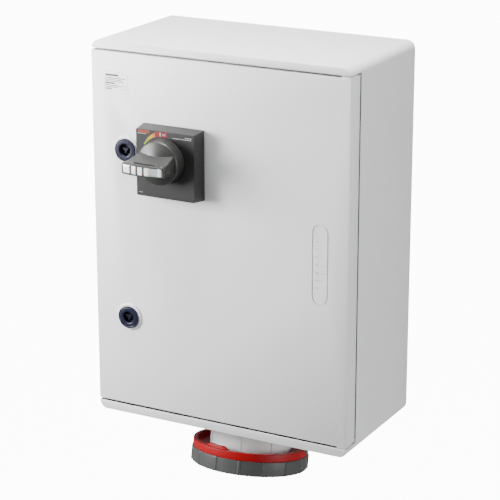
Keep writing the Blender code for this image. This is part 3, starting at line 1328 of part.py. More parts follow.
def build():
    clear_scene()
    cabinet_shell()
    hinge_pins()
    mounting_plate()
    switch_body()
    switch_cover()
    mechanism_housing()
    earth_bar()
    for side in LOCK_HEIGHTS:
        keeper(side)
    for number, x in enumerate(pole_places(), 1):
        load_terminal(number, x)

    door_axis = pivot("door_hinge", (HINGE_X, HINGE_Y, 0))
    handle_axis = pivot("handle_axis", (HANDLE_X, ROTOR_BACK, HANDLE_Z), parent=door_axis)
    slide_axis = pivot("slide_axis", (HANDLE_X, ROTOR_BACK - GRIP_REACH, HANDLE_Z), parent=handle_axis)
    attach(door_axis, door_panel(), door_seal(), handle_base_plate(), *handle_clamp())
    attach(handle_axis, handle_knob(), shaft_coupler())
    attach(slide_axis, padlock_slide())
    for side, z in LOCK_HEIGHTS.items():
        lock_axis = pivot(f"{side}_lock_axis", (LOCK_X, FRONT, z), parent=door_axis)
        collar, bush, nut, core, cam = door_lock(side)
        attach(door_axis, collar, bush, nut)
        attach(lock_axis, core, cam)

    shaft_axis = pivot("shaft_axis", (HANDLE_X, SHAFT_END, HANDLE_Z))
    attach(shaft_axis, extension_shaft())
    slider_axis = pivot("slider_axis", (HANDLE_X, SLIDER_BACK, HANDLE_Z))
    attach(slider_axis, drive_slider())
    trip_axis = pivot("trip_axis", (trip_centre()[0], COVER_FRONT, trip_centre()[1]))
    attach(trip_axis, trip_button())
    toggle_axis = pivot("toggle_axis", (HANDLE_X, TOGGLE_PIVOT_Y, HANDLE_Z), tilt=TOGGLE_SWING)
    switch_toggle(toggle_axis)

    socket_axis = pivot("socket_axis", (0, SOCKET_Y, -HALF_HEIGHT), tilt=-SOCKET_TILT)
    socket_neck(socket_axis)
    contact_carrier(socket_axis)
    for name, place in contact_places().items():
        bore = EARTH_CONTACT_BORE if name == "earth_contact" else CONTACT_BORE
        socket_contact(name, place, bore, socket_axis)
    colour_collar(socket_axis)
    lid_hinge_pin(socket_axis)
    lid_hinge_bracket(socket_axis)
    lid_place = socket_axis.matrix_world @ Vector((0, LID_HINGE_REACH, -LID_HINGE_DEPTH))
    lid_axis = pivot("lid_hinge", lid_place, tilt=-SOCKET_TILT)
    ring_axis = pivot("lid_ring_axis", (0, SOCKET_Y, -HALF_HEIGHT), tilt=-SOCKET_TILT, parent=lid_axis)
    hang(lid_axis, socket_axis, lid_cap(socket_axis), lid_seal(socket_axis))
    hang(ring_axis, socket_axis, lid_ring(socket_axis))

    places = contact_places()
    lug_floor = HANDLE_Z - SWITCH_SIZE[1] / 2 - LUG_LENGTH + LUG_BITE
    colours = {1: (0.12, 0.05, 0.03), 2: (0.02, 0.02, 0.02), 3: (0.25, 0.25, 0.25)}
    for number, x in enumerate(pole_places(), 1):
        top = (x, LUG_Y, lug_floor - GAP)
        place = places[f"phase_contact_{number}"]
        conductor(f"phase_wire_{number}", top, socket_axis, place, colours[number])
    bar_mouth = EARTH_BAR_CENTRE[1] - EARTH_BAR[2] / 2 + EARTH_BAR[1] - GAP
    top = (EARTH_BAR_CENTRE[0], earth_entry_y(), bar_mouth)
    conductor("earth_wire", top, socket_axis, places["earth_contact"], (0.1, 0.35, 0.05))


build()
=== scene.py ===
"""Looks of the wall-mounted switched socket unit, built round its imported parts.

Metres, +Z up; the cabinet's back lies on the wall at y = 0 and its door faces -Y.
"""

import json
import math

import bmesh
import bpy
import numpy as np
from mathutils import Matrix, Vector


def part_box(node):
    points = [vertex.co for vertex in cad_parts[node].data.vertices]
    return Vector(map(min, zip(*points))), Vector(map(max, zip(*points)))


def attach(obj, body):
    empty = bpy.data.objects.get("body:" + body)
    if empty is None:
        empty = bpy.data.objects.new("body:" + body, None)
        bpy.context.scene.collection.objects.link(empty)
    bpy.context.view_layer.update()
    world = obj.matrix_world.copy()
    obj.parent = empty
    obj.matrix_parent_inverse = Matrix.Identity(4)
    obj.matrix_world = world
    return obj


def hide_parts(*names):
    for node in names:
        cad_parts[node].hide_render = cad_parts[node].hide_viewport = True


MM = 0.001
MERGE = 0.002 * MM

# Handle on the door: sizes about its turning axis, depths out from the rotor's back
GRIP_HALF = (26.0, 6.25)
GRIP_ROOT_HALF = (19.0, 11.6)
GRIP_FLARE = (12.0, 36.0)
GRIP_REACH = 45.0
GRIP_BOW = 4.0
BOW_DEPTHS = (28.0, 40.0)
GRIP_CORNER = 2.0
POCKET_HALF = (23.8, 4.5)
POCKET_FLOOR = 28.3
SLOT_HALF = 14.0
SLOT_DEPTHS = (36.8, 41.2)
SLOT_SINK = 1.6
SLOT_SHADE = 0.3
SLIDE_HALF = (23.4, 4.2)
SLIDE_ROUND = 2.0
NOTCHES = (-14.6, -6.6, 1.4)
NOTCH_WIDTH = 1.9
NOTCH_DEPTH = 1.0
NOTCH_SLOPE = 1.0
RIBBED = (8.6, 18.6)
RIB_PITCH = 1.25
# Dark backing behind the slide's face: painted shade at the bottom of its notches and valleys
SHADE_BACKING_SPAN = (-15.0, 19.5)
SHADE_BACKING_DEPTHS = (0.72, 1.3)

# Socket under the cabinet: depths run out along its tilted axis
RIB_COUNT = 15
RIB_START = -1.0
RIB_HEIGHT = 0.8
RIB_HALF_ANGLE = 0.8
BRACKET_ARC = (7.0, 105.0)
RAMP_CENTRES = (-103.0, 137.0)
RAMP_HALF_ANGLE = 14.5
RAMP_SLOPE = 0.16
RAMP_RISE = 2.2
LUG_HALF_ANGLE = 14.5
PAD_ARCS = ((-93, -77), (-153, -137), (-33, -17), (27, 43), (147, 163))

# Grooves between the door and the shell, and the near-black strips of painted shade set in them
GROOVE = 2.0
REAR_GROOVE = 1.75
DOOR_SKIRT = 22.5
KNUCKLE_WIDTH = 11.5
SHADE_STRIP_LOW = -3.6
SHADE_STRIP_THICK = 2.4

# Screws: heights above the seat of the head
HEAD_HEIGHT = 2.5
HEAD_RIM = 1.4
CROWN_RADIUS = 3.4
CROSS_DEPTH = 1.2
CROSS_HALF = 0.55
CROSS_REACH = 2.5

# Label on the door
LABEL_CENTRE = (-123.75, 168.5)
LABEL_SIZE = (29.5, 21.0)
LABEL_MARGIN = 1.6
LABEL_THICK = 0.25
LABEL_INK_LOW = 0.2
LABEL_INK_THICK = 0.1
FILM = 0.12

# Studio, in metres and degrees
FLOOR_LEVEL = -1.6
FLOOR_HALF = 30
BACKDROP_RADIUS = 29.0
BACKDROP_HEIGHT = 25.0
WORLD_STRENGTH = 0.38
LIGHT_TARGET = (0, -0.08, 0)
LIGHTS = {
    "key_light": ((-0.78, -0.68, 0.22), 0.55, 32),
    "top_light": ((-0.2, -0.25, 2.0), 1.0, 150),
    "fill_light": ((2.4, -0.3, 0.2), 1.6, 52),
}
CAMERA_AZIMUTH = 28.4
CAMERA_ELEVATION = 17.65
CAMERA_ROLL = -0.05
CAMERA_TARGET = (-0.0040, -0.080, -0.0245)
CAMERA_DISTANCE = 2.172
CAMERA_LENS = 141.2
CAMERA_SENSOR = 36

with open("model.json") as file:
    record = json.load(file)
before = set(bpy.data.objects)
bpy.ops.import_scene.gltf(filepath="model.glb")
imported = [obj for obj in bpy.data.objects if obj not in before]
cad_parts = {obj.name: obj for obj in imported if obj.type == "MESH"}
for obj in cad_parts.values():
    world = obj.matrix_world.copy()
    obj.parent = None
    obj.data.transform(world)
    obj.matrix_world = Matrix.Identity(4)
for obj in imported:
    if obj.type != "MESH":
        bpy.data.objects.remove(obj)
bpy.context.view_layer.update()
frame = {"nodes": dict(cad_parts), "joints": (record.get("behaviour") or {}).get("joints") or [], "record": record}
nodes = frame["nodes"]
joints = {joint["name"]: joint for joint in frame["joints"]}
body_of_node = {
    node: body for body, group in frame["record"]["behaviour"]["bodies"].items() for node in group
}


# ---------------------------------------------------------------- finishes


def linear(colour):
    """sRGB hex to linear red, green, blue, alpha."""
    srgb = np.array([int(colour[i : i + 2], 16) for i in (1, 3, 5)]) / 255
    low = srgb / 12.92
    high = ((srgb + 0.055) / 1.055) ** 2.4
    return (*np.where(srgb <= 0.04045, low, high).tolist(), 1.0)


def shade(colour, factor):
    """The same colour, lighter or darker by a factor on its linear values."""
    red, green, blue, alpha = linear(colour)
    return (min(red * factor, 1), min(green * factor, 1), min(blue * factor, 1), alpha)


def add(tree, kind, values=None, links=None, **settings):
    """A node with its settings, the values of its sockets and the links into them."""
    node = tree.nodes.new(kind)
    for name, value in settings.items():
        setattr(node, name, value)
    for name, value in (values or {}).items():
        node.inputs[name].default_value = value
    for name, source in (links or {}).items():
        tree.links.new(source, node.inputs[name])
    return node


def start_finish(name, values):
    """An empty finish: its tree, its shader and the object's own coordinates."""
    material = bpy.data.materials.new(name)
    material.use_nodes = True
    tree = material.node_tree
    shader = tree.nodes["Principled BSDF"]
    for socket, value in values.items():
        shader.inputs[socket].default_value = value
    place = add(tree, "ShaderNodeTexCoord").outputs["Object"]
    return material, tree, shader, place


def per_mm(size):
    """Texture scale that gives a pattern of this many millimetres."""
    return 1 / (size * MM)


def mottled(tree, shader, place, colour, spread, size, detail=3.0):
    """Colour that drifts a little lighter and darker over patches of a given size."""
    values = {"Scale": per_mm(size), "Detail": detail, "Roughness": 0.55}
    cloud = add(tree, "ShaderNodeTexNoise", values, {"Vector": place})
    ramp = add(tree, "ShaderNodeValToRGB", links={"Fac": cloud.outputs["Fac"]})
    ramp.color_ramp.elements[0].position = 0.3
    ramp.color_ramp.elements[0].color = shade(colour, 1 - spread)
    ramp.color_ramp.elements[1].position = 0.7
    ramp.color_ramp.elements[1].color = shade(colour, 1 + spread)
    tree.links.new(ramp.outputs["Color"], shader.inputs["Base Color"])


def grained(tree, shader, place, size, height, strength, roughness, spread):
    """Fine bumps of a given size and height, whose tops and hollows also differ in roughness."""
    grain = add(tree, "ShaderNodeTexNoise", {"Scale": per_mm(size), "Detail": 2.0}, {"Vector": place})
    values = {"From Min": 0.3, "From Max": 0.7, "To Min": roughness - spread, "To Max": roughness + spread}
    rough = add(tree, "ShaderNodeMapRange", values, {"Value": grain.outputs["Fac"]})
    tree.links.new(rough.outputs["Result"], shader.inputs["Roughness"])
    values = {"Strength": strength, "Distance": height * MM}
    bump = add(tree, "ShaderNodeBump", values, {"Height": grain.outputs["Fac"]})
    tree.links.new(bump.outputs["Normal"], shader.inputs["Normal"])


def pressed_polyester():
    """Hot-pressed glass-filled polyester: an even light grey, an eggshell sheen, very faint clouding."""
    finish, tree, shader, place = start_finish("pressed_polyester_light_grey", {"IOR": 1.53})
    mottled(tree, shader, place, "#D6D7D7", 0.012, 55)
    grained(tree, shader, place, 0.9, 0.02, 0.25, 0.46, 0.05)
    return finish


def moulded_plastic(name, colour, roughness=0.45, gloss=0.5, grain=0.5, height=0.02, spread=0.03):
    """Injection-moulded thermoplastic: the satin skin of a spark-eroded mould, coarse enough to show."""
    finish, tree, shader, place = start_finish(name, {"IOR": 1.5, "Specular IOR Level": gloss})
    mottled(tree, shader, place, colour, spread, 18)
    grained(tree, shader, place, grain, height, 0.35, roughness, 0.06)
    return finish


def milky_polycarbonate():
    """Translucent polycarbonate: bright, glossy, with light that spreads a little inside."""
    values = {"IOR": 1.58, "Subsurface Weight": 0.25, "Subsurface Scale": 0.002, "Coat Weight": 0.3}
    finish, tree, shader, place = start_finish("milky_polycarbonate", values)
    mottled(tree, shader, place, "#E9EAEA", 0.02, 6)
    grained(tree, shader, place, 0.8, 0.01, 0.15, 0.22, 0.04)
    return finish


def zinc_plated_steel():
    """Zinc-plated turned steel: bluish silver, soft highlights and slight staining."""
    finish, tree, shader, place = start_finish("zinc_plated_steel", {"Metallic": 1.0})
    mottled(tree, shader, place, "#B9BBBE", 0.08, 4)
    grained(tree, shader, place, 0.4, 0.01, 0.3, 0.34, 0.08)
    return finish


def galvanised_sheet():
    """Hot-dip galvanised sheet: frosty crystals some 9 mm across, each reflecting a little differently."""
    finish, tree, shader, place = start_finish("galvanised_sheet", {"Metallic": 1.0})
    values = {"Scale": per_mm(9), "Randomness": 1.0}
    crystals = add(tree, "ShaderNodeTexVoronoi", values, {"Vector": place})
    level = add(tree, "ShaderNodeSeparateColor", links={"Color": crystals.outputs["Color"]})
    ramp = add(tree, "ShaderNodeValToRGB", links={"Fac": level.outputs["Red"]})
    ramp.color_ramp.elements[0].color = linear("#9FA3A6")
    ramp.color_ramp.elements[1].color = linear("#C3C6C8")
    tree.links.new(ramp.outputs["Color"], shader.inputs["Base Color"])
    values = {"From Min": 0.0, "From Max": 1.0, "To Min": 0.36, "To Max": 0.56}
    rough = add(tree, "ShaderNodeMapRange", values, {"Value": level.outputs["Green"]})
    tree.links.new(rough.outputs["Result"], shader.inputs["Roughness"])
    return finish


def machined_brass():
    """Drawn and machined brass: warm yellow with fine lengthwise drawing lines."""
    finish, tree, shader, place = start_finish("machined_brass", {"Metallic": 1.0})
    stretch = add(tree, "ShaderNodeMapping", {"Scale": (1, 1, 0.06)}, {"Vector": place})
    line_place = stretch.outputs["Vector"]
    mottled(tree, shader, line_place, "#C9A458", 0.1, 0.8)
    grained(tree, shader, line_place, 0.5, 0.01, 0.3, 0.3, 0.08)
    return finish


def foamed_rubber():
    """Foamed EPDM: near-black, matt, with open pores."""
    finish, tree, shader, place = start_finish("foamed_rubber", {"IOR": 1.5})
    mottled(tree, shader, place, "#242424", 0.25, 1.2)
    grained(tree, shader, place, 0.7, 0.15, 0.7, 0.86, 0.06)
    return finish


def wire_insulation(name, colour):
    """Extruded PVC: smooth, slightly glossy, faintly wavy."""
    finish, tree, shader, place = start_finish(name, {"IOR": 1.53})
    mottled(tree, shader, place, colour, 0.04, 14)
    grained(tree, shader, place, 3.0, 0.05, 0.2, 0.36, 0.04)
    return finish


def lit_paper():
    """Back-lit white studio paper: even, matt and bright, so that nothing shows but its whiteness."""
    values = {"Roughness": 0.9, "Emission Strength": 12.0}
    finish, tree, shader, place = start_finish("studio_paper", values)
    mottled(tree, shader, place, "#F4F4F4", 0.01, 400)
    shader.inputs["Emission Color"].default_value = linear("#FFFFFF")
    return finish


def screen_ink(name, colour):
    """Screen-printed ink: flat and even, a touch glossier than the plastic under it."""
    finish, tree, shader, place = start_finish(name, {"IOR": 1.5})
    mottled(tree, shader, place, colour, 0.04, 2)
    grained(tree, shader, place, 0.3, 0.004, 0.2, 0.38, 0.05)
    return finish


def position_ink(left, right):
    """Printed band that runs from green at off to amber at on."""
    finish, tree, shader, place = start_finish("position_band_ink", {"IOR": 1.5})
    across = add(tree, "ShaderNodeSeparateXYZ", links={"Vector": place})
    values = {"From Min": left, "From Max": right}
    share = add(tree, "ShaderNodeMapRange", values, {"Value": across.outputs["X"]})
    ramp = add(tree, "ShaderNodeValToRGB", links={"Fac": share.outputs["Result"]})
    ramp.color_ramp.elements[0].color = linear("#6F9A10")
    ramp.color_ramp.elements[1].color = linear("#B4560E")
    middle = ramp.color_ramp.elements.new(0.6)
    middle.color = linear("#AC8A0A")
    tree.links.new(ramp.outputs["Color"], shader.inputs["Base Color"])
    grained(tree, shader, place, 0.3, 0.004, 0.2, 0.38, 0.05)
    return finish


# ---------------------------------------------------------------- surfaces


def grid_faces(rows, columns, wrap_rows, wrap_columns):
    """Corner numbers of the quads of a grid, whose last row or column may join the first."""
    row_starts = np.arange(rows - (not wrap_rows))
    column_starts = np.arange(columns - (not wrap_columns))
    i, j = np.meshgrid(row_starts, column_starts, indexing="ij")
    down, across = (i + 1) % rows, (j + 1) % columns
    corners = (i * columns + j, i * columns + across, down * columns + across, down * columns + j)
    return np.stack(corners, -1).reshape(-1, 4)


def surface(name, grid, finish, wrap=(False, True), cap_rows=False, cap_columns=False, crisp=40):
    """A grid of points (rows, columns, 3) as one skin; its end rows or columns may be closed flat."""
    rows, columns = grid.shape[:2]
    faces = grid_faces(rows, columns, *wrap).tolist()
    numbers = np.arange(rows * columns).reshape(rows, columns)
    if cap_rows:
        faces += [numbers[0].tolist(), numbers[-1].tolist()]
    if cap_columns:
        faces += [numbers[:, 0].tolist(), numbers[:, -1].tolist()]
    return skin_object(name, grid.reshape(-1, 3).tolist(), faces, finish, crisp)


def skin_object(name, points, faces, finish, crisp):
    """Merges poles and seams, turns faces outwards and keeps edges sharper than an angle crisp."""
    mesh = bpy.data.meshes.new(name)
    mesh.from_pydata(points, [], faces)
    work = bmesh.new()
    work.from_mesh(mesh)
    bmesh.ops.remove_doubles(work, verts=work.verts, dist=MERGE)
    bmesh.ops.recalc_face_normals(work, faces=work.faces)
    work.to_mesh(mesh)
    work.free()
    mesh.shade_smooth()
    mesh.set_sharp_from_angle(angle=math.radians(crisp))
    mesh.materials.append(finish)
    piece = bpy.data.objects.new(name, mesh)
    bpy.context.scene.collection.objects.link(piece)
    return piece


def rounded(corners, radius, steps=4, ends=False):
    """Each corner of a closed line becomes a parabola between points a radius away on its two sides.

    With t from 0 to 1 a corner gives (1-t)^2 before + 2t(1-t) corner + t^2 after; with ends the line is
    open, and its two ends stay sharp.
    """
    points = np.asarray(corners, float)
    back = np.roll(points, 1, 0) - points
    ahead = np.roll(points, -1, 0) - points
    back_length = np.linalg.norm(back, axis=1)
    ahead_length = np.linalg.norm(ahead, axis=1)
    longest = 0.45 * np.minimum(back_length, ahead_length)
    reach = np.minimum(np.broadcast_to(radius, len(points)), longest)
    if ends:
        reach[[0, -1]] = 0
    before = points + back * (reach / back_length)[:, None]
    after = points + ahead * (reach / ahead_length)[:, None]
    t = np.linspace(0, 1, steps + 1)[None, :, None]
    at_corner = 2 * t * (1 - t) * points[:, None]
    curve = (1 - t) ** 2 * before[:, None] + at_corner + t**2 * after[:, None]
    return curve.reshape(-1, 2)


def turned(
    name, profile, place, finish, angles=None, swell=None, sink=None, wrap_rows=False, **options
):
    """A profile of (radius, depth) in mm carried round an axis.

    Radius may swell and depth may sink as functions of radius, depth and angle.
    """
    if angles is None:
        angles = np.linspace(0, 2 * np.pi, 96, endpoint=False)
    radius = profile[:, 0][:, None] + np.zeros(len(angles))[None, :]
    depth = profile[:, 1][:, None] + np.zeros(len(angles))[None, :]
    angle = np.zeros(len(profile))[:, None] + angles[None, :]
    if swell:
        radius = radius + swell(radius, depth, angle)
    if sink:
        depth = depth - sink(radius, depth, angle)
    grid = place(radius * np.cos(angle), radius * np.sin(angle), depth)
    return surface(name, grid, finish, wrap=(wrap_rows, True), **options)


def arc_sweep(name, profile, start, end, place, finish, count=48, rise=None):
    """A closed profile carried along part of a circle, its two ends flat; depth may rise along the way."""
    share = np.linspace(0, 1, count)[None, :]
    angle = np.radians(start + (end - start) * share)
    radius = profile[:, 0][:, None]
    depth = profile[:, 1][:, None] + 0 * angle
    if rise:
        depth = depth - rise(radius, depth, share)
    grid = place(radius * np.cos(angle), radius * np.sin(angle), depth)
    return surface(name, grid, finish, wrap=(True, False), cap_columns=True)


def ribbon(name, path, width, place, finish, low=0.0, thick=FILM, closed=False):
    """A flat strip along a line of (u, v) points in mm, standing a film's thickness above its ground.

    Every cross-section lies across the line's own direction there; width may change along it.
    """
    path = np.asarray(path, float)
    if closed:
        along = np.roll(path, -1, 0) - np.roll(path, 1, 0)
    else:
        along = np.gradient(path, axis=0)
    along /= np.linalg.norm(along, axis=1)[:, None]
    side = np.stack([-along[:, 1], along[:, 0]], -1)
    half = np.broadcast_to(width, len(path))[:, None] / 2
    left, right = path - side * half, path + side * half
    lines = np.stack([left, left, right, right])
    depth = np.array([low, low + thick, low + thick, low])[:, None] + np.zeros(len(path))[None, :]
    grid = place(lines[..., 0], lines[..., 1], depth)
    return surface(name, grid, finish, wrap=(True, closed), cap_columns=not closed)


def facing(centre_x, front_y, centre_z):
    """Places (u, v, depth) in mm about an axis square to the door: u right, v up, depth outwards."""

    def place(u, v, depth):
        u, v, depth = np.broadcast_arrays(u, v, depth)
        return np.stack([centre_x + u * MM, front_y - depth * MM, centre_z + v * MM], -1)

    return place


def along_axis(origin, axis, across):
    """Places (u, v, depth) in mm about a tilted axis: u and v across it, depth along it."""
    axis = np.array(axis, float)
    across = np.array(across, float)
    side = np.cross(across, axis)

    def place(u, v, depth):
        u, v, depth = (value[..., None] * MM for value in np.broadcast_arrays(u, v, depth))
        return origin + u * across + v * side + depth * axis

    return place


def middle(node):
    """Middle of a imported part's box."""
    low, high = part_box(node)
    return (low + high) / 2


def fit(piece, body, slot, *replaced):
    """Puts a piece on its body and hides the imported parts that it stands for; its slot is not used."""
    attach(piece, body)
    if replaced:
        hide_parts(*replaced)
    return piece


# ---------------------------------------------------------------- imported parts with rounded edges


def finished_copy(node, finish, edge, crisp=35):
    """The part's own shape with its flats made whole, its curves smooth and its sharp edges rounded."""
    source = nodes[node].data
    points = np.empty(len(source.vertices) * 3)
    source.vertices.foreach_get("co", points)
    corners = np.empty(len(source.loops), int)
    source.loops.foreach_get("vertex_index", corners)
    mesh = bpy.data.meshes.new(node + "_finished")
    mesh.from_pydata(points.reshape(-1, 3).tolist(), [], corners.reshape(-1, 3).tolist())
    work = bmesh.new()
    work.from_mesh(mesh)
    bmesh.ops.remove_doubles(work, verts=work.verts, dist=MERGE)
    bmesh.ops.dissolve_limit(work, angle_limit=math.radians(1), verts=work.verts, edges=work.edges)
    work.to_mesh(mesh)
    work.free()
    mesh.shade_smooth()
    mesh.set_sharp_from_angle(angle=math.radians(crisp))
    mesh.materials.append(finish)
    piece = bpy.data.objects.new(node + "_finished", mesh)
    bpy.context.scene.collection.objects.link(piece)
    if edge:
        bevel = piece.modifiers.new("rounded_edges", "BEVEL")
        bevel.width = edge * MM
        bevel.segments = 2
        bevel.limit_method = "ANGLE"
        bevel.angle_limit = math.radians(crisp + 5)
        bevel.harden_normals = True
    subparts = frame["record"]["subparts"]
    slot = next(part["material_slot"] for part in subparts if part["node"] == node)
    return fit(piece, body_of_node[node], slot, node)


def groove_shade_strips():
    """Near-black strips of painted shade in the grooves above, below and behind the door, which darken the gaps.
    """
    low, high = (np.array(corner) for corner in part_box("door_panel"))
    half = (high[0] - low[0]) / 2 / MM
    shade_sheet = FINISH["painted_shade_black"]
    for name, z in (("top", high[2] / MM + GROOVE / 2), ("bottom", low[2] / MM - GROOVE / 2)):
        place = facing(0, low[1], z * MM)
        path = [(-half + 1, 0), (half - KNUCKLE_WIDTH - 1, 0)]
        width = GROOVE - 0.3
        strip = ribbon(f"{name}_groove_shade_strip", path, width, place, shade_sheet, SHADE_STRIP_LOW, SHADE_STRIP_THICK)
        fit(strip, "cabinet", "seal_foam")
    rear = low[1] + (DOOR_SKIRT + REAR_GROOVE) * MM
    place = facing(0, rear, (low[2] + high[2]) / 2)
    reach = (high[2] - low[2]) / 2 / MM - 4
    for name, u in (("left", -half + 2.6), ("right", half - 2.6)):
        path = [(u, -reach), (u, reach)]
        strip = ribbon(f"{name}_rear_shade_strip", path, 4.0, place, shade_sheet, low=0.02, thick=0.45)
        fit(strip, "cabinet", "seal_foam")


# ---------------------------------------------------------------- handle


def grip_half_height(depth):
    """From the tall root to the slim front, falling evenly over the depths of the flare."""
    near, far = GRIP_FLARE
    share = np.clip((depth - near) / (far - near), 0, 1)
    return GRIP_ROOT_HALF[1] + (GRIP_HALF[1] - GRIP_ROOT_HALF[1]) * share


def bow(across, depth):
    """How far the bowed front stands out: a parabola over the width that fades in over a few depths."""
    near, far = BOW_DEPTHS
    fade = np.clip((depth - near) / (far - near), 0, 1)
    return GRIP_BOW * (1 - (across / GRIP_HALF[0]) ** 2) * fade


def box_outline(side_shares, steps=4):
    """Round-cornered rectangle: corner-centre shares (from -1 to 1) and directions of the rounding."""
    turn = np.linspace(0, np.pi / 2, steps + 1)
    shares = np.asarray(side_shares)
    centres = []
    directions = []
    for quarter, (sx, sz) in enumerate(((1, 1), (-1, 1), (-1, -1), (1, -1))):
        angles = turn + quarter * np.pi / 2
        centres.append(np.tile([sx, sz], (len(angles), 1)))
        directions.append(np.stack([np.cos(angles), np.sin(angles)], -1))
        if quarter % 2 == 0:
            run = shares[::-1] * sx
            centres.append(np.stack([run, np.full(len(run), sz)], -1))
            directions.append(np.tile([0, sz], (len(run), 1)))
    return np.concatenate(centres).astype(float), np.concatenate(directions).astype(float)


def grip_bar(place, finish):
    """Bar of the handle: round-cornered sections along the depth, a bowed front and the slide's pocket.

    A section is corner centre x (half size - corner radius) + radius x direction. Where the section's top
    lies within the slot's depths and length it sinks to make the slot for the shackle.
    """
    slot_share = SLOT_HALF / (GRIP_HALF[0] - GRIP_CORNER)
    shares = [-0.9, -slot_share - 0.02, -slot_share, -0.3, 0, 0.3, slot_share, slot_share + 0.02, 0.9]
    centre, direction = box_outline(shares)
    near, far = SLOT_DEPTHS
    flare_depths = [10, 16, 18, 20, 23, 26, 29, 32, 35]
    slot_edges = [near - 0.3, near, far, far + 0.3]
    outer_depth = np.array(flare_depths + slot_edges + [43.6, 44.6, GRIP_REACH])
    outer_width = np.interp(outer_depth, [5, GRIP_REACH], [GRIP_ROOT_HALF[0], GRIP_HALF[0]])
    outer_half = np.stack([outer_width, grip_half_height(outer_depth)], -1)
    outer_half[-2] -= 0.3
    outer_half[-1] -= 1.0
    pocket = np.array(POCKET_HALF)
    half = np.concatenate([outer_half, [pocket + 0.4, pocket, pocket]])
    depth = np.concatenate([outer_depth, [GRIP_REACH, 44.6, POCKET_FLOOR]])
    radius = np.concatenate([np.full(len(outer_depth), GRIP_CORNER), [0.8, 0.6, 0.6]])
    radius, depth = radius[:, None], depth[:, None]
    across = centre[None, :, 0] * (half[:, :1] - radius) + direction[None, :, 0] * radius
    up = centre[None, :, 1] * (half[:, 1:] - radius) + direction[None, :, 1] * radius
    is_outer = np.arange(len(depth))[:, None] < len(outer_depth)
    in_slot = (depth >= near) & (depth <= far) & is_outer
    top = (direction[None, :, 1] > 0.99) & (np.abs(centre[None, :, 0]) <= slot_share + 0.001)
    up = up - SLOT_SINK * (in_slot & top)
    out = depth + bow(across, depth)
    return surface("handle_grip", place(across, up, out), finish, cap_rows=True, crisp=50)


def rotor(place, finish, stem_step, stem_end):
    """Turned body of the handle: shallow cone, round rim and the stem that goes through the door."""
    corners = [
        (0, 22.0),
        (9, 21.5),
        (23.4, 15.4),
        (24, 14.4),
        (24, 0.0),
        (12, 0.0),
        (12, stem_step),
        (6, stem_step),
        (6, stem_end),
        (0, stem_end),
    ]
    radii = [0, 3, 0.6, 0.6, 0.3, 0.3, 0.3, 0.3, 0.5, 0]
    return turned("handle_rotor", rounded(corners, radii, ends=True), place, finish)


def slide_recess(along):
    """How far the slide's front lies back along the bar: three notches, a stretch of ribs and a round end.

    A notch is a flat trough whose right wall slopes; the ribs are a cosine raised to a power, which leaves
    broad crests and narrow valleys; the end falls back as a quarter circle.
    """
    recess = np.zeros_like(along)
    for left in NOTCHES:
        rise = np.clip((along - left) / 0.3, 0, 1)
        fall = np.clip((left + NOTCH_WIDTH + NOTCH_SLOPE - along) / NOTCH_SLOPE, 0, 1)
        recess += NOTCH_DEPTH * np.minimum(rise, fall)
    low, high = RIBBED
    wave = (1 - np.cos(2 * np.pi * (along - low) / RIB_PITCH)) / 2
    recess += np.where((along > low) & (along < high), wave**2, 0)
    ending = np.clip((along - SLIDE_HALF[0] + SLIDE_ROUND) / SLIDE_ROUND, 0, 1)
    return recess + SLIDE_ROUND / 2 * (1 - np.sqrt(1 - 0.99 * ending**2))


def slide_face(place):
    """Front of the padlock slide, and a dark backing behind it: painted shade that shows at the bottom of its
    notches and valleys.
    """
    along = np.linspace(-SLIDE_HALF[0], SLIDE_HALF[0], 560)
    share = np.linspace(-1, 1, 13)
    crown = 0.35 * share**8
    bowed = GRIP_REACH + bow(along, GRIP_REACH)
    front = bowed[None, :] - 0.15 - slide_recess(along)[None, :] - crown[:, None]
    out = np.concatenate([front, np.tile(bowed - 1.35, (2, 1))])
    up = SLIDE_HALF[1] * np.concatenate([share, [1, -1]])[:, None] + 0 * along[None, :]
    grid = place(along[None, :] + 0 * up, up, out)
    ends = {"wrap": (True, False), "cap_columns": True}
    face = surface("padlock_slide_face", grid, FINISH["milky"], crisp=30, **ends)
    inside = np.linspace(*SHADE_BACKING_SPAN, 60)
    level = GRIP_REACH + bow(inside, GRIP_REACH)
    height = (SLIDE_HALF[1] - 0.05) * np.array([-1, -1, 1, 1])[:, None] + 0 * inside[None, :]
    high, low = SHADE_BACKING_DEPTHS
    depth = level[None, :] - np.array([low, high, high, low])[:, None]
    grid = place(inside[None, :] + 0 * height, height, depth)
    shade_backing = surface("padlock_slide_shade_backing", grid, FINISH["plate_grey"], **ends)
    return face, shade_backing


def slot_shade_strip(place):
    """Painted shade at the bottom of the shackle slot: a near-black strip that follows the grip's bowed front."""
    along = np.linspace(-SLOT_HALF + 0.4, SLOT_HALF - 0.4, 24)
    near, far = SLOT_DEPTHS[0] + 0.2, SLOT_DEPTHS[1] - 0.2
    depth = np.array([near, near, far, far])[:, None] + 0 * along[None, :]
    bottom = SLOT_SINK + 0.05
    height = grip_half_height(depth) - np.array([bottom, SLOT_SHADE, SLOT_SHADE, bottom])[:, None]
    grid = place(along[None, :] + 0 * depth, height, depth + bow(along[None, :], depth))
    shade_sheet = FINISH["painted_shade_black"]
    return surface("shackle_slot_shade_strip", grid, shade_sheet, wrap=(True, False), cap_columns=True)


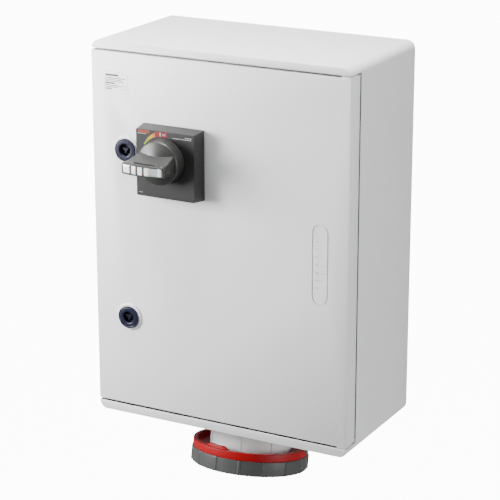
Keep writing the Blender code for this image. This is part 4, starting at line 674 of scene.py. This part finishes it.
def handle():
    """Rotor, grip, slide face and the printed marks on the base plate."""
    x, y, z = joints["handle_turn"]["pos_m"]
    place = facing(x, y, z)
    stem_step = (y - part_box("handle_clamp_plate")[1].y) / MM - 1
    stem_end = (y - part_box("handle_knob")[1].y) / MM
    body = body_of_node["handle_knob"]
    grey = FINISH["handle_grey"]
    fit(rotor(place, grey, stem_step, stem_end), body, "grip_plastic", "handle_knob")
    fit(grip_bar(place, grey), body, "grip_plastic", "handle_knob")
    for piece in slide_face(place):
        fit(piece, body_of_node["padlock_slide"], "slide_plastic")
    fit(slot_shade_strip(place), body, "grip_plastic")
    plate_face = facing(x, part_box("handle_base_plate")[0].y, z)
    for mark in handle_marks(plate_face, x):
        fit(mark, body_of_node["handle_base_plate"], "label_film")


def handle_marks(place, centre_x):
    """Plain printed marks: a coloured block, the position band, the ON field, the OFF ring, fine lines."""
    turn = np.radians(np.linspace(149, 112, 24))
    band = 29.2 * np.stack([np.cos(turn), np.sin(turn)], -1)
    band_ink = position_ink(centre_x + band[0, 0] * MM, centre_x + band[-1, 0] * MM)
    ring_turn = np.linspace(0, 2 * np.pi, 20, endpoint=False)
    circle = np.stack([np.cos(ring_turn), np.sin(ring_turn)], -1)
    white = FINISH["ink_white"]
    on_red = {"low": 0.1}
    letter_o = [(-1.9, 27.7)] + circle * (0.55, 0.8)
    off_ring = [(-30.6, 1.5)] + circle * (1.5, 2.0)
    marks = [
        ribbon("mark_orange_block", [(-32.6, 29.0), (-18.4, 29.0)], 2.9, place, FINISH["ink_orange"]),
        ribbon("mark_orange_underline", [(-33.2, 26.7), (-22.4, 26.7)], 0.5, place, white),
        ribbon("mark_position_band", band, np.linspace(1.4, 4.4, 24), place, band_ink),
        ribbon("mark_on_field", [(-11.6, 27.9), (2.8, 27.9)], 5.4, place, FINISH["ink_red"]),
        ribbon("mark_on_bar", [(-5.2, 25.9), (-5.2, 29.9)], 1.2, place, white, **on_red),
        ribbon("mark_on_o", letter_o, 0.35, place, white, closed=True, **on_red),
        ribbon("mark_on_n_left", [(-0.5, 26.8), (-0.5, 28.7)], 0.35, place, white, **on_red),
        ribbon("mark_on_n_slant", [(-0.5, 28.6), (0.6, 26.9)], 0.35, place, white, **on_red),
        ribbon("mark_on_n_right", [(0.6, 26.8), (0.6, 28.7)], 0.35, place, white, **on_red),
        ribbon("mark_off_ring", off_ring, 0.7, place, white, closed=True),
        ribbon("mark_fine_line", [(9.4, 25.6), (32.6, 25.6)], 0.45, place, white),
        ribbon("mark_corner_dash", [(-32.4, -38.2), (-28.2, -38.2)], 0.35, place, white),
    ]
    for i, left in enumerate((25.2, 28.0, 30.8)):
        marks.append(ribbon(f"mark_dash_{i + 1}", [(left, 27.4), (left + 1.8, 27.4)], 0.8, place, white))
    return marks


# ---------------------------------------------------------------- door locks


def lock_face(side):
    """Dark bush with a stepped front, and the pale collar behind it."""
    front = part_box("door_panel")[0].y
    centre = middle(f"{side}_lock_bush")
    place = facing(centre.x, front, centre.z)
    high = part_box(f"{side}_lock_bush")[1]
    rear = (front - high.y) / MM
    seat_step = -4.0
    bush = [
        (12.8, 2.1),
        (12.8, 3.2),
        (12.1, 3.7),
        (11.1, 3.7),
        (10.8, 3.35),
        (10.5, 3.7),
        (7.4, 3.7),
        (6.5, 3.0),
        (6.5, seat_step),
        (8.3, seat_step),
        (8.3, rear),
        (10.0, rear),
        (10.0, 2.1),
    ]
    blue, grey = FINISH["lock_blue"], FINISH["collar_grey"]
    skin = turned(f"{side}_lock_face", rounded(bush, 0.3, 3), place, blue, wrap_rows=True)
    fit(skin, body_of_node[f"{side}_lock_bush"], "lock_plastic", f"{side}_lock_bush")
    collar = [(15.3, 0.3), (15.3, 1.2), (14.6, 1.8), (10.3, 1.8), (10.3, 0.3)]
    ring = turned(f"{side}_lock_ring", rounded(collar, 0.35, 3), place, grey, wrap_rows=True)
    fit(ring, body_of_node[f"{side}_lock_collar"], "cabinet_plastic", f"{side}_lock_collar")


# ---------------------------------------------------------------- socket


def socket_place():
    """The socket's own axes: origin where its axis meets the cabinet's bottom, depth outwards."""
    joint = joints["lid_ring_turn"]
    axis = Vector(joint["axis"]).normalized()
    point = Vector(joint["pos_m"])
    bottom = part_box("enclosure_shell")[0].z
    origin = point + axis * ((bottom - point.z) / axis.z)
    return along_axis(np.array(origin), axis, (1.0, 0.0, 0.0))


def ring_angles():
    """Angles of the ring's columns: close together on each rib and wide apart between ribs."""
    offsets = np.array([-1.5, -1.05, -0.75, -0.4, 0, 0.4, 0.75, 1.05, 1.5, 5, 9, 13, 17, 20.5])
    starts = RIB_START + np.arange(RIB_COUNT) * 360 / RIB_COUNT
    return np.radians((starts[:, None] + offsets[None, :]).ravel())


def rib_swell(radius, depth, angle):
    """Narrow ribs on the outer wall: height falls from the middle of a rib as a cosine bell."""
    pitch = 360 / RIB_COUNT
    off = (np.degrees(angle) - RIB_START + pitch / 2) % pitch - pitch / 2
    bell = (1 + np.cos(np.pi * np.clip(off / (RIB_HALF_ANGLE * 1.6), -1, 1))) / 2
    on_wall = np.clip((radius - 65.0) / 1.0, 0, 1)
    return RIB_HEIGHT * bell * on_wall


def lid_ring(place):
    """Grip ring: a hooked profile turned about the axis, ribs on its outer wall and three lugs."""
    profile = [(66.5, 46.9), (66.5, 63.8), (54.0, 63.8), (54.0, 60.5), (61.7, 60.5), (61.7, 46.9)]
    radii = [0.8, 2.0, 0.6, 0.3, 0.3, 0.6]
    body = body_of_node["lid_ring"]
    grey = FINISH["ring_grey"]
    outline = rounded(profile, radii, 5)
    ring = turned("lid_ring_skin", outline, place, grey, ring_angles(), rib_swell, wrap_rows=True)
    fit(ring, body, "ring_grey", "lid_ring")
    lug = rounded([(50, 47.2), (62.2, 47.2), (62.2, 49.6), (50, 49.6)], 0.5)
    for i in range(3):
        low, high = i * 120 - LUG_HALF_ANGLE, i * 120 + LUG_HALF_ANGLE
        piece = arc_sweep(f"lid_ring_lug_{i + 1}", lug, low, high, place, grey, 12)
        fit(piece, body, "ring_grey", "lid_ring")


def ramp_rise(radius, depth, share):
    """Sloping ends: the top of a ramp climbs over about a sixth of its length and falls over the last."""
    from_end = np.minimum(share, 1 - share)
    return -RAMP_RISE * (1 - np.clip(from_end / RAMP_SLOPE, 0, 1)) * (depth < 40)


def collar(place):
    """Coloured collar: web, wall round the rim that leaves room for the bracket, and two ramps."""
    red = FINISH["collar_red"]
    body = body_of_node["colour_collar"]
    web = rounded([(46.3, 44.6), (65.8, 44.6), (65.8, 46.6), (46.3, 46.6)], 0.3, 3)
    fit(turned("collar_web", web, place, red, wrap_rows=True), body, "collar_red", "colour_collar")
    wall = rounded([(65.8, 38.2), (65.8, 46.55), (61.0, 46.55), (61.0, 38.2)], [0.9, 0.1, 0.1, 0.6], 5)
    start, end = BRACKET_ARC[1] + 0.3, BRACKET_ARC[0] + 360 - 0.3
    fit(arc_sweep("collar_wall", wall, start, end, place, red, 110), body, "collar_red", "colour_collar")
    ramp = rounded([(57.0, 35.7), (61.4, 35.7), (61.4, 44.7), (57.0, 44.7)], 0.5, 3)
    for i, centre in enumerate(RAMP_CENTRES):
        low, high = centre - RAMP_HALF_ANGLE, centre + RAMP_HALF_ANGLE
        piece = arc_sweep(f"collar_ramp_{i + 1}", ramp, low, high, place, red, 26, ramp_rise)
        fit(piece, body, "collar_red", "colour_collar")


def neck_pads(place):
    """Flat raised strips down the neck, which give it its faint upright steps."""
    strip = rounded([(45.6, 7.0), (46.55, 7.0), (46.55, 43.5), (45.6, 43.5)], 0.25, 3)
    for i, (low, high) in enumerate(PAD_ARCS):
        piece = arc_sweep(f"neck_strip_{i + 1}", strip, low, high, place, FINISH["polyester"], 14)
        fit(piece, body_of_node["socket_neck"], "cabinet_plastic")


# ---------------------------------------------------------------- screws


def cross_sink(radius, depth, angle):
    """Cross recess: full depth near either of two lines through the middle, with steep sides and ends."""
    across = radius * np.minimum(np.abs(np.cos(angle)), np.abs(np.sin(angle)))
    sides = np.clip((CROSS_HALF - across) / 0.15, 0, 1)
    ends = np.clip((CROSS_REACH - radius) / 0.3, 0, 1)
    return CROSS_DEPTH * sides * ends * (depth > HEAD_RIM)


def screw_head(node, place, length):
    """Pan-head screw with a cross recess, turned about its own axis."""
    radii = np.linspace(0, CROWN_RADIUS, 15)
    crown = [(r, HEAD_HEIGHT - 0.5 * (r / CROWN_RADIUS) ** 3) for r in radii]
    rim = [(3.9, HEAD_RIM), (4.0, 0.5), (4.0, 0.0)]
    profile = np.array(crown + rim + [(2.0, 0.0), (2.0, -length), (0, -length)])
    angles = np.linspace(0, 2 * np.pi, 72, endpoint=False)
    zinc = FINISH["zinc"]
    piece = turned(node + "_turned", profile, place, zinc, angles, sink=cross_sink, crisp=45)
    return fit(piece, body_of_node[node], "zinc_steel", node)


def screws():
    """All the screws: heads to the front on the plate, down on the neck, to the rear on the handle."""
    for i in range(4):
        node = f"mounting_plate_screw_{i + 1}"
        low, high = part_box(node)
        centre = middle(node)
        length = (high.y - low.y) / MM - HEAD_HEIGHT
        screw_head(node, facing(centre.x, low.y + HEAD_HEIGHT * MM, centre.z), length)
    for i in range(4):
        node = f"neck_screw_{i + 1}"
        low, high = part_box(node)
        centre = middle(node)
        origin = np.array([centre.x, centre.y, low.z + HEAD_HEIGHT * MM])
        length = (high.z - low.z) / MM - HEAD_HEIGHT
        screw_head(node, along_axis(origin, (0, 0, -1.0), (1.0, 0, 0)), length)
    for i in range(2):
        node = f"handle_clamp_screw_{i + 1}"
        low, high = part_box(node)
        centre = middle(node)
        origin = np.array([centre.x, high.y - HEAD_HEIGHT * MM, centre.z])
        length = (high.y - low.y) / MM - HEAD_HEIGHT
        screw_head(node, along_axis(origin, (0, 1.0, 0), (1.0, 0, 0)), length)


# ---------------------------------------------------------------- label


def label():
    """Printed film on the door: a white plate with a thin grey outline of painted shade along its edge and plain
    bars in place of printed data.
    """
    place = facing(LABEL_CENTRE[0] * MM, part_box("door_panel")[0].y, LABEL_CENTRE[1] * MM)
    width, height = LABEL_SIZE
    ink = FINISH["ink_black"]
    half = width / 2 - LABEL_MARGIN
    middle_line = [(-width / 2, 0), (width / 2, 0)]
    pieces = [ribbon("label_film", middle_line, height, place, FINISH["film"], thick=LABEL_THICK)]
    print_options = {"low": LABEL_INK_LOW, "thick": LABEL_INK_THICK}
    # Bars: height on the label, thickness, share of the printed width
    rows = [(7.4, 2.0, 0.62), (4.2, 0.9, 0.95), (2.4, 0.7, 0.8), (0.6, 0.7, 0.9)]
    rows += [(-1.4, 1.5, 0.45), (-3.8, 0.7, 0.7), (-5.6, 0.7, 0.55), (-7.6, 1.2, 0.3)]
    for i, (v, thick, share) in enumerate(rows):
        bar = [(-half, v), (-half + 2 * half * share, v)]
        pieces.append(ribbon(f"label_line_{i + 1}", bar, thick, place, ink, **print_options))
    right, top = width / 2, height / 2
    edge = [(-right, -top), (right, -top), (right, top), (-right, top)]
    # Grey outline round the film: painted shade along the label's edge
    rim = ribbon("label_edge_shade", edge, 0.45, place, FINISH["painted_edge_shade_grey"], thick=0.2, closed=True)
    pieces.append(rim)
    box = [(6.6, -7.6), (11.8, -7.6), (11.8, -3.4), (6.6, -3.4)]
    pieces.append(ribbon("label_box", box, 0.45, place, ink, closed=True, **print_options))
    for piece in pieces:
        fit(piece, "door", "label_film")


# ---------------------------------------------------------------- studio


def studio():
    """Lit paper as floor and round backdrop, the world, soft lights and the camera."""
    near, far, level = -FLOOR_HALF, FLOOR_HALF, FLOOR_LEVEL
    corners = [[[near, near, level], [far, near, level]], [[near, far, level], [far, far, level]]]
    floor = surface("studio_floor", np.array(corners, float), FINISH["floor"], wrap=(False, False))
    ground = along_axis(np.array([0, 0, FLOOR_LEVEL]), (0, 0, 1.0), (1.0, 0, 0))
    radius, height = BACKDROP_RADIUS / MM, BACKDROP_HEIGHT / MM
    wall = np.array([(radius, 0), (radius, height), (0, height)], float)
    backdrop = turned("studio_backdrop", wall, ground, FINISH["floor"])
    for paper in (floor, backdrop):
        paper.visible_diffuse = False
        paper.visible_glossy = False
        paper.visible_shadow = False
    world = bpy.data.worlds.new("studio_world")
    world.use_nodes = True
    background = world.node_tree.nodes["Background"]
    background.inputs["Color"].default_value = linear("#FFFFFF")
    background.inputs["Strength"].default_value = WORLD_STRENGTH
    bpy.context.scene.world = world
    for name, (place, size, power) in LIGHTS.items():
        soft_light(name, place, size, power)
    aim_camera()


def aim_camera():
    """Camera that looks down at the unit from the front right, turned a hair about its own line of sight."""
    azimuth = math.radians(CAMERA_AZIMUTH)
    elevation = math.radians(CAMERA_ELEVATION)
    roll = math.radians(CAMERA_ROLL)
    flat = Vector((math.sin(azimuth), -math.cos(azimuth), 0))
    back = flat * math.cos(elevation) + Vector((0, 0, math.sin(elevation)))
    level = Vector((math.cos(azimuth), math.sin(azimuth), 0))
    upright = back.cross(level)
    right = level * math.cos(roll) + upright * math.sin(roll)
    up = back.cross(right)
    data = bpy.data.cameras.new("studio_camera")
    data.lens = CAMERA_LENS
    data.sensor_width = CAMERA_SENSOR
    camera = bpy.data.objects.new("studio_camera", data)
    bpy.context.scene.collection.objects.link(camera)
    turn = Matrix((right, up, back)).transposed().to_4x4()
    place = Vector(CAMERA_TARGET) + back * CAMERA_DISTANCE
    camera.matrix_world = Matrix.Translation(place) @ turn
    bpy.context.scene.camera = camera


def soft_light(name, place, size, power):
    """Round area light of a given diameter, turned towards the cabinet."""
    data = bpy.data.lights.new(name, "AREA")
    data.shape = "DISK"
    data.size = size
    data.energy = power
    light = bpy.data.objects.new(name, data)
    light.location = place
    aim = Vector(LIGHT_TARGET) - Vector(place)
    light.rotation_euler = aim.to_track_quat("-Z", "Y").to_euler()
    bpy.context.scene.collection.objects.link(light)


# ---------------------------------------------------------------- the whole

FINISH = {
    "polyester": pressed_polyester(),
    "collar_grey": moulded_plastic("polyamide_pale_grey", "#D9DADA", 0.42),
    "plate_grey": moulded_plastic("polyamide_dark_grey", "#1F1F1F", 0.46, 0.35),
    "handle_grey": moulded_plastic("polyamide_mid_grey", "#232322", 0.42, 0.4),
    "milky": milky_polycarbonate(),
    "lock_blue": moulded_plastic("polyamide_blue_black", "#101228", 0.36, 0.35),
    "lock_core": moulded_plastic("polyamide_blue_black_core", "#0A0B1A", 0.35, 0.3),
    "collar_red": moulded_plastic("polyamide_signal_red", "#8E0008", 0.4, 0.25),
    "ring_grey": moulded_plastic("polyamide_ring_grey", "#3E3F3F", 0.42, 0.4),
    "switch_black": moulded_plastic("thermoset_black", "#2B2B2B", 0.5),
    "switch_grey": moulded_plastic("thermoset_dark_grey", "#4A4B4C", 0.48),
    # Near-black for painted shade: the strips in the door's grooves and in the shackle slot
    "painted_shade_black": moulded_plastic("painted_shade_near_black", "#060606", 0.7, 0.15),
    "trip_red": moulded_plastic("polyamide_button_red", "#C32418", 0.32),
    "zinc": zinc_plated_steel(),
    "galvanised": galvanised_sheet(),
    "brass": machined_brass(),
    "foam": foamed_rubber(),
    "brown": wire_insulation("pvc_brown", "#5E3A22"),
    "black": wire_insulation("pvc_black", "#1E1E1E"),
    "grey": wire_insulation("pvc_grey", "#7F8183"),
    "green": wire_insulation("pvc_green", "#5D9A2E"),
    "film": screen_ink("label_film_white", "#FCFCFB"),
    "ink_white": screen_ink("ink_white", "#A4A4A2"),
    # Grey of the label's outline, painted shade along its edge
    "painted_edge_shade_grey": screen_ink("painted_edge_shade_grey", "#767674"),
    "ink_black": screen_ink("ink_black", "#161616"),
    "ink_red": screen_ink("ink_red", "#730104"),
    "ink_orange": screen_ink("ink_orange", "#7C2C0A"),
    "floor": lit_paper(),
}

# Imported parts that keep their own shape: finish and edge rounding in millimetres
COPIES = {
    "enclosure_shell": ("polyester", 0.5),
    "door_panel": ("polyester", 0.35),
    "socket_neck": ("polyester", 0.4),
    "door_seal": ("foam", 0.8),
    "lid_seal": ("foam", 0.5),
    "handle_base_plate": ("plate_grey", 0.5),
    "padlock_slide": ("milky", 0.25),
    "upper_lock_core": ("lock_core", 0.3),
    "lower_lock_core": ("lock_core", 0.3),
    "upper_lock_nut": ("zinc", 0.4),
    "lower_lock_nut": ("zinc", 0.4),
    "upper_lock_cam": ("zinc", 0.4),
    "lower_lock_cam": ("zinc", 0.4),
    "upper_keeper": ("galvanised", 0.3),
    "lower_keeper": ("galvanised", 0.3),
    "hinge_pin_upper": ("zinc", 0.3),
    "hinge_pin_lower": ("zinc", 0.3),
    "handle_clamp_plate": ("galvanised", 0.4),
    "shaft_coupler": ("switch_black", 0.6),
    "mounting_plate": ("galvanised", 0.4),
    "switch_body": ("switch_black", 0.8),
    "switch_cover": ("switch_grey", 0.8),
    "trip_button": ("trip_red", 0.3),
    "load_terminal_1": ("brass", 0.4),
    "load_terminal_2": ("brass", 0.4),
    "load_terminal_3": ("brass", 0.4),
    "mechanism_housing": ("switch_grey", 0.3),
    "extension_shaft": ("zinc", 0.5),
    "drive_slider": ("galvanised", 0.3),
    "switch_toggle": ("switch_black", 0.5),
    "earth_bar": ("brass", 0.6),
    "phase_wire_1": ("brown", 0),
    "phase_wire_2": ("black", 0),
    "phase_wire_3": ("grey", 0),
    "earth_wire": ("green", 0),
    "contact_carrier": ("switch_black", 0.4),
    "phase_contact_1": ("brass", 0.4),
    "phase_contact_2": ("brass", 0.4),
    "phase_contact_3": ("brass", 0.4),
    "earth_contact": ("brass", 0.4),
    "lid_hinge_bracket": ("ring_grey", 0.5),
    "lid_hinge_pin": ("zinc", 0.3),
    "lid_cap": ("ring_grey", 0.6),
}

for part, (finish_name, edge_size) in COPIES.items():
    finished_copy(part, FINISH[finish_name], edge_size)
groove_shade_strips()
handle()
for lock_side in ("upper", "lower"):
    lock_face(lock_side)
socket = socket_place()
lid_ring(socket)
collar(socket)
neck_pads(socket)
screws()
label()
studio()
